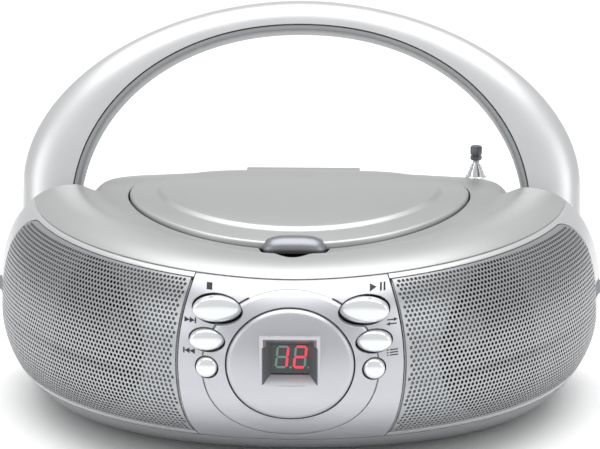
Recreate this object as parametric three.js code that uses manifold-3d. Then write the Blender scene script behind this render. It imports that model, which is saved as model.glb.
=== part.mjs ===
// Portable CD radio with a top-loading lid, two loudspeakers, a carry handle and a telescopic aerial.
// Millimetres, +Z up, the front faces -Y. The origin is on the table under the middle of the object.
import * as THREE from 'three';
import { mergeVertices } from 'three/addons/utils/BufferGeometryUtils.js';
import Module from 'manifold-3d';

const wasm = await Module();
wasm.setup();

// Cabinet
const BODY_HALF_WIDTH = 140;
const FRONT_REACH = 151.8; // from the widest line to the front
const REAR_REACH = 92.2; // from the widest line to the back
const SIDE_REAR_REACH = 86; // back reach of the low side bulges that carry the handle ledges
const NECK_HALF_WIDTH = 104; // the cabinet between the handle's legs
const FOOT_HEIGHT = 3;
const BELT_Z = 48; // height of the widest section
const CREST_Z = 98.2;
const DECK_TOP_Z = 98.5;
const WALL = 2.6;
const JOINT_GAP = 0.3; // between touching parts
const SEAM_Z = 92.26; // parting line of the top, at the widest line
const SEAM_SLOPE = 0.01377;
const REAR_SEAM_Z = 70;
const BASE_SEAM_Z = 18;
const LEDGE_Z = 48;
const DECK_RIM = { radius: 98, z: 86.5 }; // the top keeps the deck inside this circle, even below the seam

// Plan and section curves of the cabinet
const PLAN_POWER = 1.78;
const PLAN_POWER_BASE_GAIN = 0.4;
const NECK_POWER = 3;
const SECTION_POWER = 2.2;
const SHOULDER_INSET = 36;
const NECK_SHOULDER_INSET = 12;
const BASE_INSET = { side: 23.2, front: 54, rear: 12 };
const NECK_BASE_INSET = 10;
const SHOULDER_DROP = 5; // how much lower the shoulder runs at the front
const DECK_BLEND = { side: 12, front: 26 };
const DECK_ROUND_X = 2644; // twice the deck's radius across
const DECK_ROUND_Y = 653; // twice the deck's radius front to back
const DECK_CROWN_Y = 9.8;

// Lid and disc well
const LID_RADIUS = 78;
const LID_CENTRE_Y = 17.8;
const LID_GAP = 0.6;
const LID_SKIN = 2.2;
const LID_PROUD = 2.5;
const LID_PLATEAU = { radius: 60, height: 1.2 };
const LID_REAR_CUT = 64; // straight rear edge, behind the lid's centre
const HINGE = { y: 91.8, z: 87, radius: 3.2, halfLength: 27.5, pinRadius: 1 };
const LID_LINER = { radius: 56, drop: 4.5, thickness: 1.4, hole: 9, postX: 40, postRadius: 2.5 };
const CLAMP = {
  bottom: 88.4, radius: 13, neckRadius: 8, neckBottom: 92.2, neckTop: 95.3, capRadius: 12, top: 96.3,
};
const DISC_RADIUS = 60;
const WELL_FLOOR_Z = 81.2;
const WELL_CLEARANCE = 2.8;
const WELL_RIM_Z = 85.6;
const WELL_SHEET = 1.8;
const FINGER_NOTCH = { halfWidth: 17.6, depth: 25, floorZ: 79 };
const CUP_WALL = 1.5;

// Disc mechanism
const CHASSIS_Z = 75;
const CHASSIS = {
  left: -30, right: 66, halfDepth: 38, windowLeft: 15.2, windowRight: 60, windowHalf: 25, ear: 3,
};
const TURNTABLE_RADIUS = 14.5;
const MOTOR = { radius: 11, bottom: 62.6, top: 74.6 };
const SLED = { x: 32, halfLength: 12, halfWidth: 24, travel: 16, bottom: 66.5, top: 74 };
const ROD = { radius: 1.5, offsetY: 19, z: 71, left: 11.6, right: 67 };
const GEAR = { teeth: 16, root: 7, tip: 8, x: 36, z: 68, thickness: 3, bore: 1.5 };
const RUNNING_GAP = 0.4;

// Console
const CONSOLE = { halfWidth: 47.4, sideRadius: 92, midZ: 55, thickness: 2.1, gap: 0.4 };
const DIAL = { radius: 26.8, z: 55, proud: 0.8 };
const WINDOW = { width: 23, height: 20, z: 59.7, faceWidth: 16, faceHeight: 13.2, depth: 5 };
const BUTTON_TRAVEL = 1.5;
const BUTTON_DOME = 2.2;
const BUTTON_SKIRT = 3.4;
const BUTTON_STEM = 2;
const BOARD_FRONT_Y = -96;
const BUTTONS = [
  { name: 'stop_button', x: -30.4, z: 78.5, width: 20.6, height: 10.8 },
  { name: 'play_button', x: 30.4, z: 78.5, width: 20.6, height: 10.8 },
  { name: 'skip_forward_button', x: -34.6, z: 66.3, width: 14.6, height: 9 },
  { name: 'mode_button', x: 34.6, z: 66.3, width: 14.6, height: 9 },
  { name: 'skip_back_button', x: -34.7, z: 55, width: 9, height: 8.6 },
  { name: 'program_button', x: 34.7, z: 55, width: 9, height: 8.6 },
];

// Loudspeakers and grilles
const GRILLE = { sheet: 1, pocket: 1.3, bottomZ: 21, rim: 2.2, endY: 3.5, corner: 16, gap: 0.9 };
const SPEAKER = { x: 80, y: -66, z: 55, angle: 36, radius: 30, coneRadius: 26.4, depth: 18.6 };

// Handle
const PIVOT = { y: 37.8, z: 63, radius: 4 };
const HANDLE_LEAN = 18;
const HANDLE_OUTER = { halfWidth: 131.4, rise: 86.9, power: 1.93, start: 31.4 };
const HANDLE_INNER = { halfWidth: 105.3, rise: 88.5, power: 2.1, start: 15 };
const HANDLE_HALF_DEPTH = 11.5;
const BOSS_RADIUS = 13;
const HANDLE_STRIP = 2.2;
const PIN_INNER_X = 92;

// Controls on the sides and back, power and aerial
const THUMBWHEEL = { radius: 8.5, thickness: 5, y: 12, z: 54.4, proud: 1.4 };
const SLIDE_KNOB = { x: 38, z: 63, width: 6, height: 4, travel: 4 };
const BATTERY_BAY = { halfWidth: 79, bottom: 22, top: 57.5, front: 38, rear: 93, wall: 1.5 };
const BATTERY_DOOR = { halfWidth: 76, bottom: 24, top: 56, thickness: 2 };
const INLET = { halfWidth: 10, height: 8.6, z: 63, depth: 15, wall: 2 };
const TRANSFORMER = { left: -106, right: -62, front: -13, rear: 23, bottom: 20, top: 42 };
const MAIN_BOARD = { halfWidth: 78, front: -45, rear: 55, z: 12 };
const BOARD_SHEET = 1.6;
const AERIAL = { x: 83.6, y: 80.5, bottom: 20, tubeTop: 90, wall: 0.45, knobBottom: 97.3, knobTop: 104.3 };
const FOOT = { radius: 7, x: 70, frontY: -35, rearY: 75 };

// Derived places
const WIDEST_Y = (FRONT_REACH + DIAL.proud - REAR_REACH) / 2;
const STEP_Y = PIVOT.y - BOSS_RADIUS - 1.3; // front wall of the handle recesses
const BIG = 400;
const RING_POINTS = 40;
const ROUND = 20;

// Finishes
const finish = (color, roughness, metalness) => ({ color, roughness, metalness });
const SILVER_PAINT = finish(0xc4c6c8, 0.4, 0.35);
const GREY_PAINT = finish(0xa9aba9, 0.45, 0.3);
const BASE_GREY = finish(0x77797b, 0.5, 0.2);
const GRILLE_METAL = finish(0xb4b6b8, 0.35, 0.8);
const GLOSS_SILVER = finish(0xd6d8da, 0.2, 0.4);
const CHROME = finish(0xd0d2d4, 0.1, 1);
const STEEL = finish(0x9a9ca0, 0.35, 1);
const BLACK_PLASTIC = finish(0x151617, 0.5, 0);
const GREY_PLASTIC = finish(0x8c8e90, 0.5, 0);
const PAPER_CONE = finish(0x202122, 0.9, 0);
const BOARD = finish(0x2f6b3a, 0.6, 0);
const DISPLAY_RED = finish(0x3a1416, 0.3, 0);
const RUBBER = finish(0x1c1c1c, 0.9, 0);
const COPPER = finish(0xb06a3a, 0.4, 0.8);

const group = new THREE.Group();

// ---------- solids ----------

function toSolid(geometry) {
  const bare = geometry.clone();
  bare.deleteAttribute('normal');
  bare.deleteAttribute('uv');
  const merged = mergeVertices(bare, 1e-4);
  return new wasm.Manifold(new wasm.Mesh({
    numProp: 3,
    vertProperties: new Float32Array(merged.attributes.position.array),
    triVerts: new Uint32Array(merged.index.array),
  }));
}

function toGeometry(solid) {
  const mesh = solid.getMesh();
  const geometry = new THREE.BufferGeometry();
  geometry.setAttribute('position', new THREE.BufferAttribute(new Float32Array(mesh.vertProperties), 3));
  geometry.setIndex(new THREE.BufferAttribute(new Uint32Array(mesh.triVerts), 1));
  geometry.computeVertexNormals();
  return geometry;
}

function addPart(name, shape, look) {
  const geometry = shape.isBufferGeometry ? shape : toGeometry(shape);
  const mesh = new THREE.Mesh(geometry, new THREE.MeshStandardMaterial(look));
  mesh.name = name;
  group.add(mesh);
}

const cut = (solid, ...tools) => tools.reduce((left, tool) => left.subtract(tool), solid);
const join = (...solids) => solids.reduce((whole, next) => whole.add(next));

// A box between two corners.
function box(x0, x1, y0, y1, z0, z1) {
  const geometry = new THREE.BoxGeometry(x1 - x0, y1 - y0, z1 - z0);
  return toSolid(geometry.translate((x0 + x1) / 2, (y0 + y1) / 2, (z0 + z1) / 2));
}

// A closed body from rings of points, closed by a fan at each end. Faces are turned outwards.
function loft(rings, bottomCentre, topCentre) {
  const count = rings[0].length;
  const points = [...rings.flat(), bottomCentre, topCentre];
  const bottom = points.length - 2;
  const top = points.length - 1;
  const faces = [];
  for (let i = 0; i < rings.length - 1; i += 1) {
    for (let j = 0; j < count; j += 1) {
      const next = (j + 1) % count;
      const [a, b] = [i * count + j, i * count + next];
      faces.push([a, b, b + count], [a, b + count, a + count]);
    }
  }
  const last = (rings.length - 1) * count;
  for (let j = 0; j < count; j += 1) {
    const next = (j + 1) % count;
    faces.push([bottom, next, j], [top, last + j, last + next]);
  }
  let volume = 0;
  for (const [a, b, c] of faces) volume += points[a].dot(points[b].clone().cross(points[c]));
  if (volume < 0) faces.forEach((face) => face.reverse());
  const geometry = new THREE.BufferGeometry();
  const numbers = points.flatMap((p) => p.toArray());
  geometry.setAttribute('position', new THREE.Float32BufferAttribute(numbers, 3));
  geometry.setIndex(faces.flat());
  return geometry;
}

const middle = (ring) => ring.reduce((sum, p) => sum.add(p), new THREE.Vector3()).divideScalar(ring.length);

// A turned body about the Z axis from (radius, height) pairs that close on the axis or on themselves.
function turned(profile, segments = ROUND) {
  const points = profile.map(([r, h]) => new THREE.Vector2(r, h));
  const onAxis = profile[0][0] === 0 && profile[profile.length - 1][0] === 0;
  if (!onAxis) points.push(points[0].clone());
  const geometry = new THREE.LatheGeometry(points, segments).rotateX(Math.PI / 2);
  const solid = toSolid(geometry);
  return solid.volume() > 0 ? solid : toSolid(flipped(geometry));
}

function flipped(geometry) {
  const copy = geometry.clone();
  const index = Array.from(copy.index.array);
  for (let i = 0; i < index.length; i += 3) [index[i], index[i + 1]] = [index[i + 1], index[i]];
  copy.setIndex(index);
  return copy;
}

const rod = (radius, z0, z1, segments = ROUND) =>
  turned([[0, z0], [radius, z0], [radius, z1], [0, z1]], segments);
const ring = (inner, outer, z0, z1, segments = ROUND) =>
  turned([[inner, z0], [outer, z0], [outer, z1], [inner, z1]], segments);

// Turns the Z axis onto +X or onto -Y.
const alongX = (solid) => solid.rotate([0, 90, 0]);
const alongFront = (solid) => solid.rotate([90, 0, 0]);

const extruded = (shape, depth) =>
  new THREE.ExtrudeGeometry(shape, { depth, bevelEnabled: false, curveSegments: 8 });

// An outline in the X-Z plane, carried along Y from yFar to yNear.
function throughFront(shape, yNear, yFar) {
  const geometry = extruded(shape, yFar - yNear);
  const basis = new THREE.Matrix4().makeBasis(
    new THREE.Vector3(1, 0, 0), new THREE.Vector3(0, 0, 1), new THREE.Vector3(0, -1, 0));
  return toSolid(geometry.applyMatrix4(basis).translate(0, yFar, 0));
}

// An outline in the Y-Z plane, carried along X from x0 to x1.
function throughSide(shape, x0, x1) {
  const geometry = extruded(shape, x1 - x0);
  const basis = new THREE.Matrix4().makeBasis(
    new THREE.Vector3(0, 1, 0), new THREE.Vector3(0, 0, 1), new THREE.Vector3(1, 0, 0));
  return toSolid(geometry.applyMatrix4(basis).translate(x0, 0, 0));
}

const ellipse = (x, z, halfWidth, halfHeight) =>
  new THREE.Shape().absellipse(x, z, halfWidth, halfHeight, 0, Math.PI * 2);

// ---------- cabinet surface ----------

const signedPower = (value, power) => Math.sign(value) * Math.abs(value) ** power;
const mix = (a, b, k) => a + (b - a) * k;
const smooth = (k) => k * k * (3 - 2 * k);
const seamHeight = (y) => SEAM_Z + SEAM_SLOPE * (y - WIDEST_Y);

const deckHeight = (x, y) =>
  DECK_TOP_Z - (x * x) / DECK_ROUND_X - (y - DECK_CROWN_Y) ** 2 / DECK_ROUND_Y;

// Quarter of a superellipse: inset and rise shares at a turn from 0 (wall) to 90 degrees (crest).
function quarter(turn) {
  return {
    inset: 1 - Math.cos(turn) ** (2 / SECTION_POWER),
    rise: Math.sin(turn) ** (2 / SECTION_POWER),
  };
}

// One closed plan outline, a superellipse whose front and back reach differ.
function planRing(halfWidth, front, rear, power, height) {
  return Array.from({ length: RING_POINTS }, (_, j) => {
    const turn = (2 * Math.PI * j) / RING_POINTS;
    const x = halfWidth * signedPower(Math.cos(turn), 2 / power);
    const reach = Math.sin(turn) < 0 ? front : rear;
    const y = WIDEST_Y + reach * signedPower(Math.sin(turn), 2 / power);
    return new THREE.Vector3(x, y, height(x, y));
  });
}

// Rings below the belt stand at the same heights in every layer, so that the layers stay parallel.
const ringHeight = (i, count, depth) => mix(FOOT_HEIGHT, BELT_Z, i / count) + (i === 0 ? depth : 0);

const frontShare = (y) => (Math.min(y - WIDEST_Y, 0) / FRONT_REACH) ** 2;
const crestHeight = (inset, y) => CREST_Z - ((SHOULDER_DROP * inset) / SHOULDER_INSET) * frontShare(y);

// The wide cabinet, with every wall moved in by `depth`.
function wideCabinet(depth) {
  const rings = [];
  const lowerRings = 4;
  for (let i = 0; i <= lowerRings; i += 1) {
    const z = ringHeight(i, lowerRings, depth);
    const u = (BELT_Z - z) / (BELT_Z - FOOT_HEIGHT);
    rings.push(planRing(
      BODY_HALF_WIDTH - depth - BASE_INSET.side * u ** 2.3,
      FRONT_REACH - depth - BASE_INSET.front * u ** 2.1,
      SIDE_REAR_REACH - depth - BASE_INSET.rear * u ** 2.1,
      PLAN_POWER + PLAN_POWER_BASE_GAIN * u,
      () => z));
  }
  const shoulderRings = 5;
  for (let i = 1; i <= shoulderRings; i += 1) {
    const { inset, rise } = quarter((Math.PI / 2) * (i / shoulderRings));
    const inward = depth + SHOULDER_INSET * inset;
    rings.push(planRing(
      BODY_HALF_WIDTH - inward, FRONT_REACH - inward, SIDE_REAR_REACH - inward, PLAN_POWER,
      (x, y) => BELT_Z + (crestHeight(SHOULDER_INSET * inset, y) - depth - BELT_Z) * rise));
  }
  const blendRings = 2;
  const deckEdge = (k) => [
    BODY_HALF_WIDTH - depth - SHOULDER_INSET - DECK_BLEND.side * k,
    FRONT_REACH - depth - SHOULDER_INSET - DECK_BLEND.front * k,
    SIDE_REAR_REACH - depth - SHOULDER_INSET - DECK_BLEND.side * k,
  ];
  for (let i = 1; i <= blendRings; i += 1) {
    const k = i / blendRings;
    rings.push(planRing(...deckEdge(k), PLAN_POWER,
      (x, y) => mix(crestHeight(SHOULDER_INSET, y), deckHeight(x, y), smooth(k)) - depth));
  }
  for (const share of [0.66, 0.33]) {
    const [a, b, c] = deckEdge(1).map((reach) => reach * share);
    rings.push(planRing(a, b, c, PLAN_POWER, (x, y) => deckHeight(x, y) - depth));
  }
  const top = new THREE.Vector3(0, WIDEST_Y, deckHeight(0, WIDEST_Y) - depth);
  return toSolid(loft(rings, middle(rings[0]), top));
}

// The neck between the handle's legs, which carries the back of the deck.
function neckCabinet(depth) {
  const rings = [];
  const reach = [NECK_HALF_WIDTH - depth, 60, REAR_REACH - depth];
  const lowerRings = 4;
  for (let i = 0; i <= lowerRings; i += 1) {
    const z = ringHeight(i, lowerRings, depth);
    const inset = NECK_BASE_INSET * ((BELT_Z - z) / (BELT_Z - FOOT_HEIGHT)) ** 2;
    rings.push(planRing(...reach.map((r) => r - inset), NECK_POWER, () => z));
  }
  const sideRings = 4;
  for (let i = 1; i <= sideRings; i += 1) {
    const { inset, rise } = quarter((Math.PI / 2) * (i / sideRings));
    rings.push(planRing(...reach.map((r) => r - NECK_SHOULDER_INSET * inset), NECK_POWER,
      (x, y) => BELT_Z + (deckHeight(x, y) - depth - BELT_Z) * rise));
  }
  for (const share of [0.6, 0.3]) {
    const scaled = reach.map((r) => (r - NECK_SHOULDER_INSET) * share);
    rings.push(planRing(...scaled, NECK_POWER, (x, y) => deckHeight(x, y) - depth));
  }
  const top = new THREE.Vector3(0, WIDEST_Y, deckHeight(0, WIDEST_Y) - depth);
  return toSolid(loft(rings, middle(rings[0]), top));
}

const cabinetCache = new Map();

// The whole cabinet as a solid, with every wall moved in by `depth` (or out, if it is negative).
function cabinet(depth) {
  if (!cabinetCache.has(depth)) {
    const recess = box(-BIG, BIG, STEP_Y - depth, BIG, LEDGE_Z - depth, BIG);
    const behindStep = box(-BIG, BIG, STEP_Y - depth - 1, BIG, 0, BIG);
    const neck = neckCabinet(depth).intersect(behindStep);
    cabinetCache.set(depth, wideCabinet(depth).subtract(recess).add(neck));
  }
  return cabinetCache.get(depth);
}

const layer = (outer, inner) => cabinet(outer).subtract(cabinet(inner));

// The space below the sloping seam of the top, in front of the handle recesses.
function belowSeam(gap) {
  const side = new THREE.Shape();
  side.moveTo(-BIG, BASE_SEAM_Z + gap);
  side.lineTo(STEP_Y, BASE_SEAM_Z + gap);
  side.lineTo(STEP_Y, seamHeight(STEP_Y) - gap);
  side.lineTo(-BIG, seamHeight(-BIG) - gap);
  return throughSide(side, -BIG, BIG).subtract(deckRim(gap));
}

const deckRim = (grow) =>
  rod(DECK_RIM.radius + grow, DECK_RIM.z - grow, BIG, 48).translate([0, LID_CENTRE_Y, 0]);

function aboveSeam() {
  const side = new THREE.Shape();
  side.moveTo(-BIG, seamHeight(-BIG));
  side.lineTo(STEP_Y + 2, seamHeight(STEP_Y + 2));
  side.lineTo(STEP_Y + 2, BIG);
  side.lineTo(-BIG, BIG);
  return join(throughSide(side, -BIG, BIG), deckRim(0),
    box(-BIG, BIG, STEP_Y + JOINT_GAP, BIG, REAR_SEAM_Z, BIG));
}

// Depth of the front surface at a point of the console.
function frontY(x, z) {
  const u = Math.max(0, (BELT_Z - z) / (BELT_Z - FOOT_HEIGHT));
  const rise = Math.max(0, (z - BELT_Z) / (CREST_Z - SHOULDER_DROP / 2 - BELT_Z));
  const inset = SHOULDER_INSET * (1 - (1 - rise ** SECTION_POWER) ** (1 / SECTION_POWER));
  const a = BODY_HALF_WIDTH - inset - BASE_INSET.side * u ** 2.3;
  const b = FRONT_REACH - inset - BASE_INSET.front * u ** 2.1;
  return WIDEST_Y - b * (1 - (Math.abs(x) / a) ** PLAN_POWER) ** (1 / PLAN_POWER);
}

// Depth of the rear surface at a point of the neck's back.
function rearY(x, z) {
  const rise = Math.max(0, (z - BELT_Z) / (deckHeight(x, WIDEST_Y + REAR_REACH) - BELT_Z));
  const inset = NECK_SHOULDER_INSET * (1 - (1 - rise ** SECTION_POWER) ** (1 / SECTION_POWER));
  const a = NECK_HALF_WIDTH - inset;
  return WIDEST_Y + (REAR_REACH - inset) * (1 - (Math.abs(x) / a) ** NECK_POWER) ** (1 / NECK_POWER);
}

// Half width of the cabinet at its belt.
const sideX = (y) =>
  BODY_HALF_WIDTH * (1 - (Math.abs(y - WIDEST_Y) / FRONT_REACH) ** PLAN_POWER) ** (1 / PLAN_POWER);

// ---------- openings ----------

// The console's outline: bowed sides, open above and below.
function consoleRegion(margin) {
  const half = CONSOLE.halfWidth + margin;
  const radius = CONSOLE.sideRadius;
  const rise = 45;
  const bow = radius - Math.sqrt(radius ** 2 - rise ** 2);
  const angle = Math.asin(rise / radius);
  const shape = new THREE.Shape();
  shape.moveTo(-half + bow, CONSOLE.midZ - rise);
  shape.absarc(half - radius, CONSOLE.midZ, radius, -angle, angle, false);
  shape.absarc(radius - half, CONSOLE.midZ, radius, Math.PI - angle, Math.PI + angle, false);
  return throughFront(shape, -BIG, WIDEST_Y - 60);
}

// The side outline shared by the grille sheet and its pocket; `margin` makes it larger all round.
function grilleRegion(margin, consoleGap) {
  const { bottomZ, rim, endY, corner } = GRILLE;
  const [bottom, end] = [bottomZ - margin, endY + margin];
  const top = (y) => seamHeight(y) - rim + margin;
  const side = new THREE.Shape();
  side.moveTo(-BIG, bottom);
  side.lineTo(end - corner, bottom);
  side.absarc(end - corner, bottom + corner, corner, -Math.PI / 2, 0, false);
  side.lineTo(end, top(end) - corner);
  side.absarc(end - corner, top(end) - corner, corner, 0, Math.PI / 2, false);
  side.lineTo(-BIG, top(-BIG));
  return throughSide(side, -BIG, BIG).subtract(consoleRegion(consoleGap));
}

const sideHalf = (side) => box(Math.min(0, side * BIG), Math.max(0, side * BIG), -BIG, BIG, -BIG, BIG);

// Moves a solid built along +Z, the speaker's firing direction, to one speaker.
function placeSpeaker(solid, side) {
  return solid.rotate([90, 0, 0]).rotate([0, 0, side * SPEAKER.angle])
    .translate([side * SPEAKER.x, SPEAKER.y, SPEAKER.z]);
}

const slotBox = (side) => box(side * SLIDE_KNOB.x - 7.5, side * SLIDE_KNOB.x + 7.5, 90, BIG,
  SLIDE_KNOB.z - 2.4, SLIDE_KNOB.z + 2.4);

// ---------- housings ----------

function addTopHousing() {
  const lidHole = rod(LID_RADIUS + LID_GAP, REAR_SEAM_Z, BIG, 36).translate([0, LID_CENTRE_Y, 0])
    .intersect(box(-BIG, BIG, -BIG, LID_CENTRE_Y + LID_REAR_CUT + 2.5, 0, BIG));
  const hingeHalf = HINGE.halfLength + 1;
  const hingeHole = box(-hingeHalf, hingeHalf, LID_CENTRE_Y, HINGE.y + HINGE.radius + 2, REAR_SEAM_Z, BIG);
  const earWidth = 4.4;
  const ear = (x) => box(x, x + earWidth, HINGE.y - 4, HINGE.y + 4, HINGE.z - 5, HINGE.z + 0.5);
  const pinHole = alongX(rod(HINGE.pinRadius + JOINT_GAP, -BIG, BIG, 12)).translate([0, HINGE.y, HINGE.z]);
  const aerialHole = rod(4.4, 0, BIG, 20).translate([AERIAL.x, AERIAL.y, 0]);
  const sheet = layer(0, WALL).intersect(aboveSeam());
  const shell = cut(sheet, lidHole, hingeHole, fingerNotch(0, true), aerialHole);
  addPart('top_housing', cut(join(shell, ear(hingeHalf), ear(-hingeHalf - earWidth)), pinHole), GREY_PAINT);
}

// The half-oval finger hollow in front of the lid.
function fingerNotch(grow, open) {
  const { halfWidth, depth, floorZ } = FINGER_NOTCH;
  const oval = toSolid(new THREE.CylinderGeometry(1, 1, 1, 28).rotateX(Math.PI / 2)
    .scale(halfWidth + grow, depth + grow, BIG).translate(0, 0, BIG / 2));
  const rear = LID_CENTRE_Y - LID_RADIUS + (open ? 2 : grow - 1.6);
  return oval.translate([0, LID_CENTRE_Y - LID_RADIUS, floorZ - grow])
    .intersect(box(-BIG, BIG, -BIG, rear, 0, BIG));
}

function addFrontHousing() {
  const region = belowSeam(JOINT_GAP);
  let shell = layer(0, WALL).intersect(region).subtract(consoleRegion(0));
  const railBand = join(
    box(-BIG, BIG, -BIG, BIG, BASE_SEAM_Z, BASE_SEAM_Z + 7), box(-BIG, BIG, -BIG, BIG, SEAM_Z - 7, BIG));
  const rails = layer(CONSOLE.thickness + JOINT_GAP, WALL + 2.3)
    .intersect(consoleRegion(3)).intersect(railBand).intersect(region);
  shell = shell.add(rails);
  for (const side of [-1, 1]) {
    const tube = placeSpeaker(rod(SPEAKER.radius + 0.4, JOINT_GAP, 60), side);
    const bore = placeSpeaker(rod(SPEAKER.radius - 2, -1, 80), side);
    shell = shell.add(tube.intersect(cabinet(GRILLE.pocket + 0.1))).subtract(bore);
    const wheel = THUMBWHEEL;
    shell = shell.subtract(box(side < 0 ? -BIG : 120, side < 0 ? -120 : BIG,
      wheel.y - wheel.radius - 0.1, wheel.y + wheel.radius + 0.1, wheel.z - 3, wheel.z + 3));
  }
  const pocket = layer(-1, GRILLE.pocket).intersect(grilleRegion(JOINT_GAP, -0.6));
  addPart('front_housing', cut(shell, pocket, fingerNotch(CUP_WALL + JOINT_GAP, false)), SILVER_PAINT);
}

function addRearHousing() {
  const region = box(-BIG, BIG, STEP_Y + JOINT_GAP, BIG, BASE_SEAM_Z + JOINT_GAP, REAR_SEAM_Z - JOINT_GAP);
  const door = BATTERY_DOOR;
  const doorGap = 0.4;
  const doorReach = door.halfWidth + doorGap;
  const doorHole = box(-doorReach, doorReach, WIDEST_Y + 20, BIG, door.bottom - doorGap, door.top + doorGap);
  const inletHole = box(-INLET.halfWidth - 0.3, INLET.halfWidth + 0.3, 90, BIG,
    INLET.z - INLET.height / 2 - 0.3, INLET.z + INLET.height / 2 + 0.3);
  const pivotHole = alongX(rod(PIVOT.radius + JOINT_GAP, -BIG, BIG, 24)).translate([0, PIVOT.y, PIVOT.z]);
  addPart('rear_housing', cut(layer(0, WALL).intersect(region), doorHole, inletHole, pivotHole,
    slotBox(-1), slotBox(1)), SILVER_PAINT);
}

function addBaseHousing() {
  addPart('base_housing', layer(0, WALL).intersect(box(-BIG, BIG, -BIG, BIG, 0, BASE_SEAM_Z)), BASE_GREY);
  for (const [side, x] of [['left', -FOOT.x], ['right', FOOT.x]]) {
    for (const [end, y] of [['front', FOOT.frontY], ['rear', FOOT.rearY]]) {
      const foot = turned([[0, 0], [FOOT.radius - 0.8, 0], [FOOT.radius, 0.8],
        [FOOT.radius, FOOT_HEIGHT - JOINT_GAP], [0, FOOT_HEIGHT - JOINT_GAP]], 24);
      addPart(`foot_${end}_${side}`, foot.translate([x, y, 0]), RUBBER);
    }
  }
}

function addGrilles() {
  const sheet = layer(0, GRILLE.sheet).intersect(grilleRegion(0, GRILLE.gap));
  addPart('left_grille', sheet.intersect(sideHalf(-1)), GRILLE_METAL);
  addPart('right_grille', sheet.intersect(sideHalf(1)), GRILLE_METAL);
}

// ---------- console ----------

function addConsole() {
  const region = belowSeam(JOINT_GAP).intersect(consoleRegion(-CONSOLE.gap));
  const dialHole = throughFront(ellipse(0, DIAL.z, DIAL.radius + 0.4, DIAL.radius + 0.4), -BIG, -60);
  const buttonHoles = BUTTONS.map(({ x, z, width, height }) =>
    throughFront(ellipse(x, z, width / 2 + 0.45, height / 2 + 0.45), -BIG, -60));
  const panel = layer(0, CONSOLE.thickness).intersect(region);
  addPart('console_panel', cut(panel, dialHole, ...buttonHoles), SILVER_PAINT);
}

// A four-sided funnel around the display window; `grow` thickens it.
function windowFunnel(grow, yFront, yBack) {
  const face = (width, height, y) => [[-1, -1], [1, -1], [1, 1], [-1, 1]].map(([i, k]) =>
    new THREE.Vector3((i * width) / 2 + i * grow, y, WINDOW.z + (k * height) / 2 + k * grow));
  const outer = face(WINDOW.width, WINDOW.height, yFront);
  const inner = face(WINDOW.faceWidth, WINDOW.faceHeight, yBack);
  const rings = [outer, inner];
  return toSolid(loft(rings, middle(rings[0]), middle(rings[1])));
}

function addDial() {
  const disc = throughFront(ellipse(0, DIAL.z, DIAL.radius, DIAL.radius), -BIG, -60);
  const plate = layer(-DIAL.proud, CONSOLE.thickness).intersect(disc);
  const front = frontY(0, WINDOW.z) - DIAL.proud;
  const back = front + WINDOW.depth;
  const funnel = windowFunnel(1.2, front + 0.6, back);
  const opening = join(windowFunnel(0, front, back + 0.1),
    box(-WINDOW.width / 2, WINDOW.width / 2, front - 5, front + 0.05,
      WINDOW.z - WINDOW.height / 2, WINDOW.z + WINDOW.height / 2));
  addPart('display_dial', cut(join(plate, funnel.intersect(disc)), opening), SILVER_PAINT);
  const blockFront = back + JOINT_GAP;
  addPart('display_module', box(-9, 9, blockFront, BOARD_FRONT_Y - JOINT_GAP,
    WINDOW.z - 6.4, WINDOW.z + 6.2), DISPLAY_RED);
}

// A domed oval cap with a stem that ends just in front of its switch on the button board.
function addButtons() {
  for (const { name, x, z, width, height } of BUTTONS) {
    const r = height / 2;
    const dome = [0, 0.35, 0.7, 1].map((k) => {
      const turn = (k * Math.PI) / 2;
      return [r * Math.sin(turn), BUTTON_DOME * Math.cos(turn) ** 1.2];
    });
    const cap = turned([...dome, [r, -BUTTON_SKIRT], [0, -BUTTON_SKIRT]]).scale([width / height, 1, 1]);
    const y = frontY(x, z);
    const stemLength = BOARD_FRONT_Y - BUTTON_TRAVEL - 1 - y;
    const stem = rod(BUTTON_STEM, -stemLength, 0.4 - BUTTON_SKIRT, 8);
    addPart(name, alongFront(join(cap, stem)).translate([x, y, z]), GLOSS_SILVER);
  }
  addPart('button_board', box(-40, 40, BOARD_FRONT_Y, BOARD_FRONT_Y + BOARD_SHEET, 47, 82), BOARD);
}

// ---------- loudspeakers ----------

function addSpeakers() {
  const { radius, coneRadius, depth } = SPEAKER;
  const frame = [[coneRadius + 0.4, 0], [radius, 0], [radius, -1.8], [28, -1.8], [15, 1.6 - depth],
    [15, -depth], [9, -depth], [9, 1.4 - depth], [13.6, 1.4 - depth], [coneRadius + 0.4, -2.2]];
  const cone = [[0, -6], [4, -6.4], [7, -7.8], [9, -10], [24, -2], [coneRadius, -1.2], [coneRadius, -2],
    [24, -2.9], [9, -11], [7, -11.6], [7, 0.6 - depth], [6.2, 0.6 - depth], [6.2, -11], [0, -9]];
  const magnet = [[0, -depth - JOINT_GAP], [16, -depth - JOINT_GAP], [17, -depth - 1.4],
    [17, -depth - 8], [16, -depth - 9], [0, -depth - 9]];
  for (const [name, side] of [['left', -1], ['right', 1]]) {
    addPart(`${name}_speaker_frame`, placeSpeaker(turned(frame), side), STEEL);
    addPart(`${name}_speaker_cone`, placeSpeaker(turned(cone), side), PAPER_CONE);
    addPart(`${name}_speaker_magnet`, placeSpeaker(turned(magnet), side), STEEL);
  }
}

// ---------- lid and disc mechanism ----------

const lidRise = (y) => (LID_PROUD * (LID_CENTRE_Y + LID_RADIUS - y)) / (2 * LID_RADIUS);
const lidTop = (x, y) => deckHeight(x, y) + lidRise(y);

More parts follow.
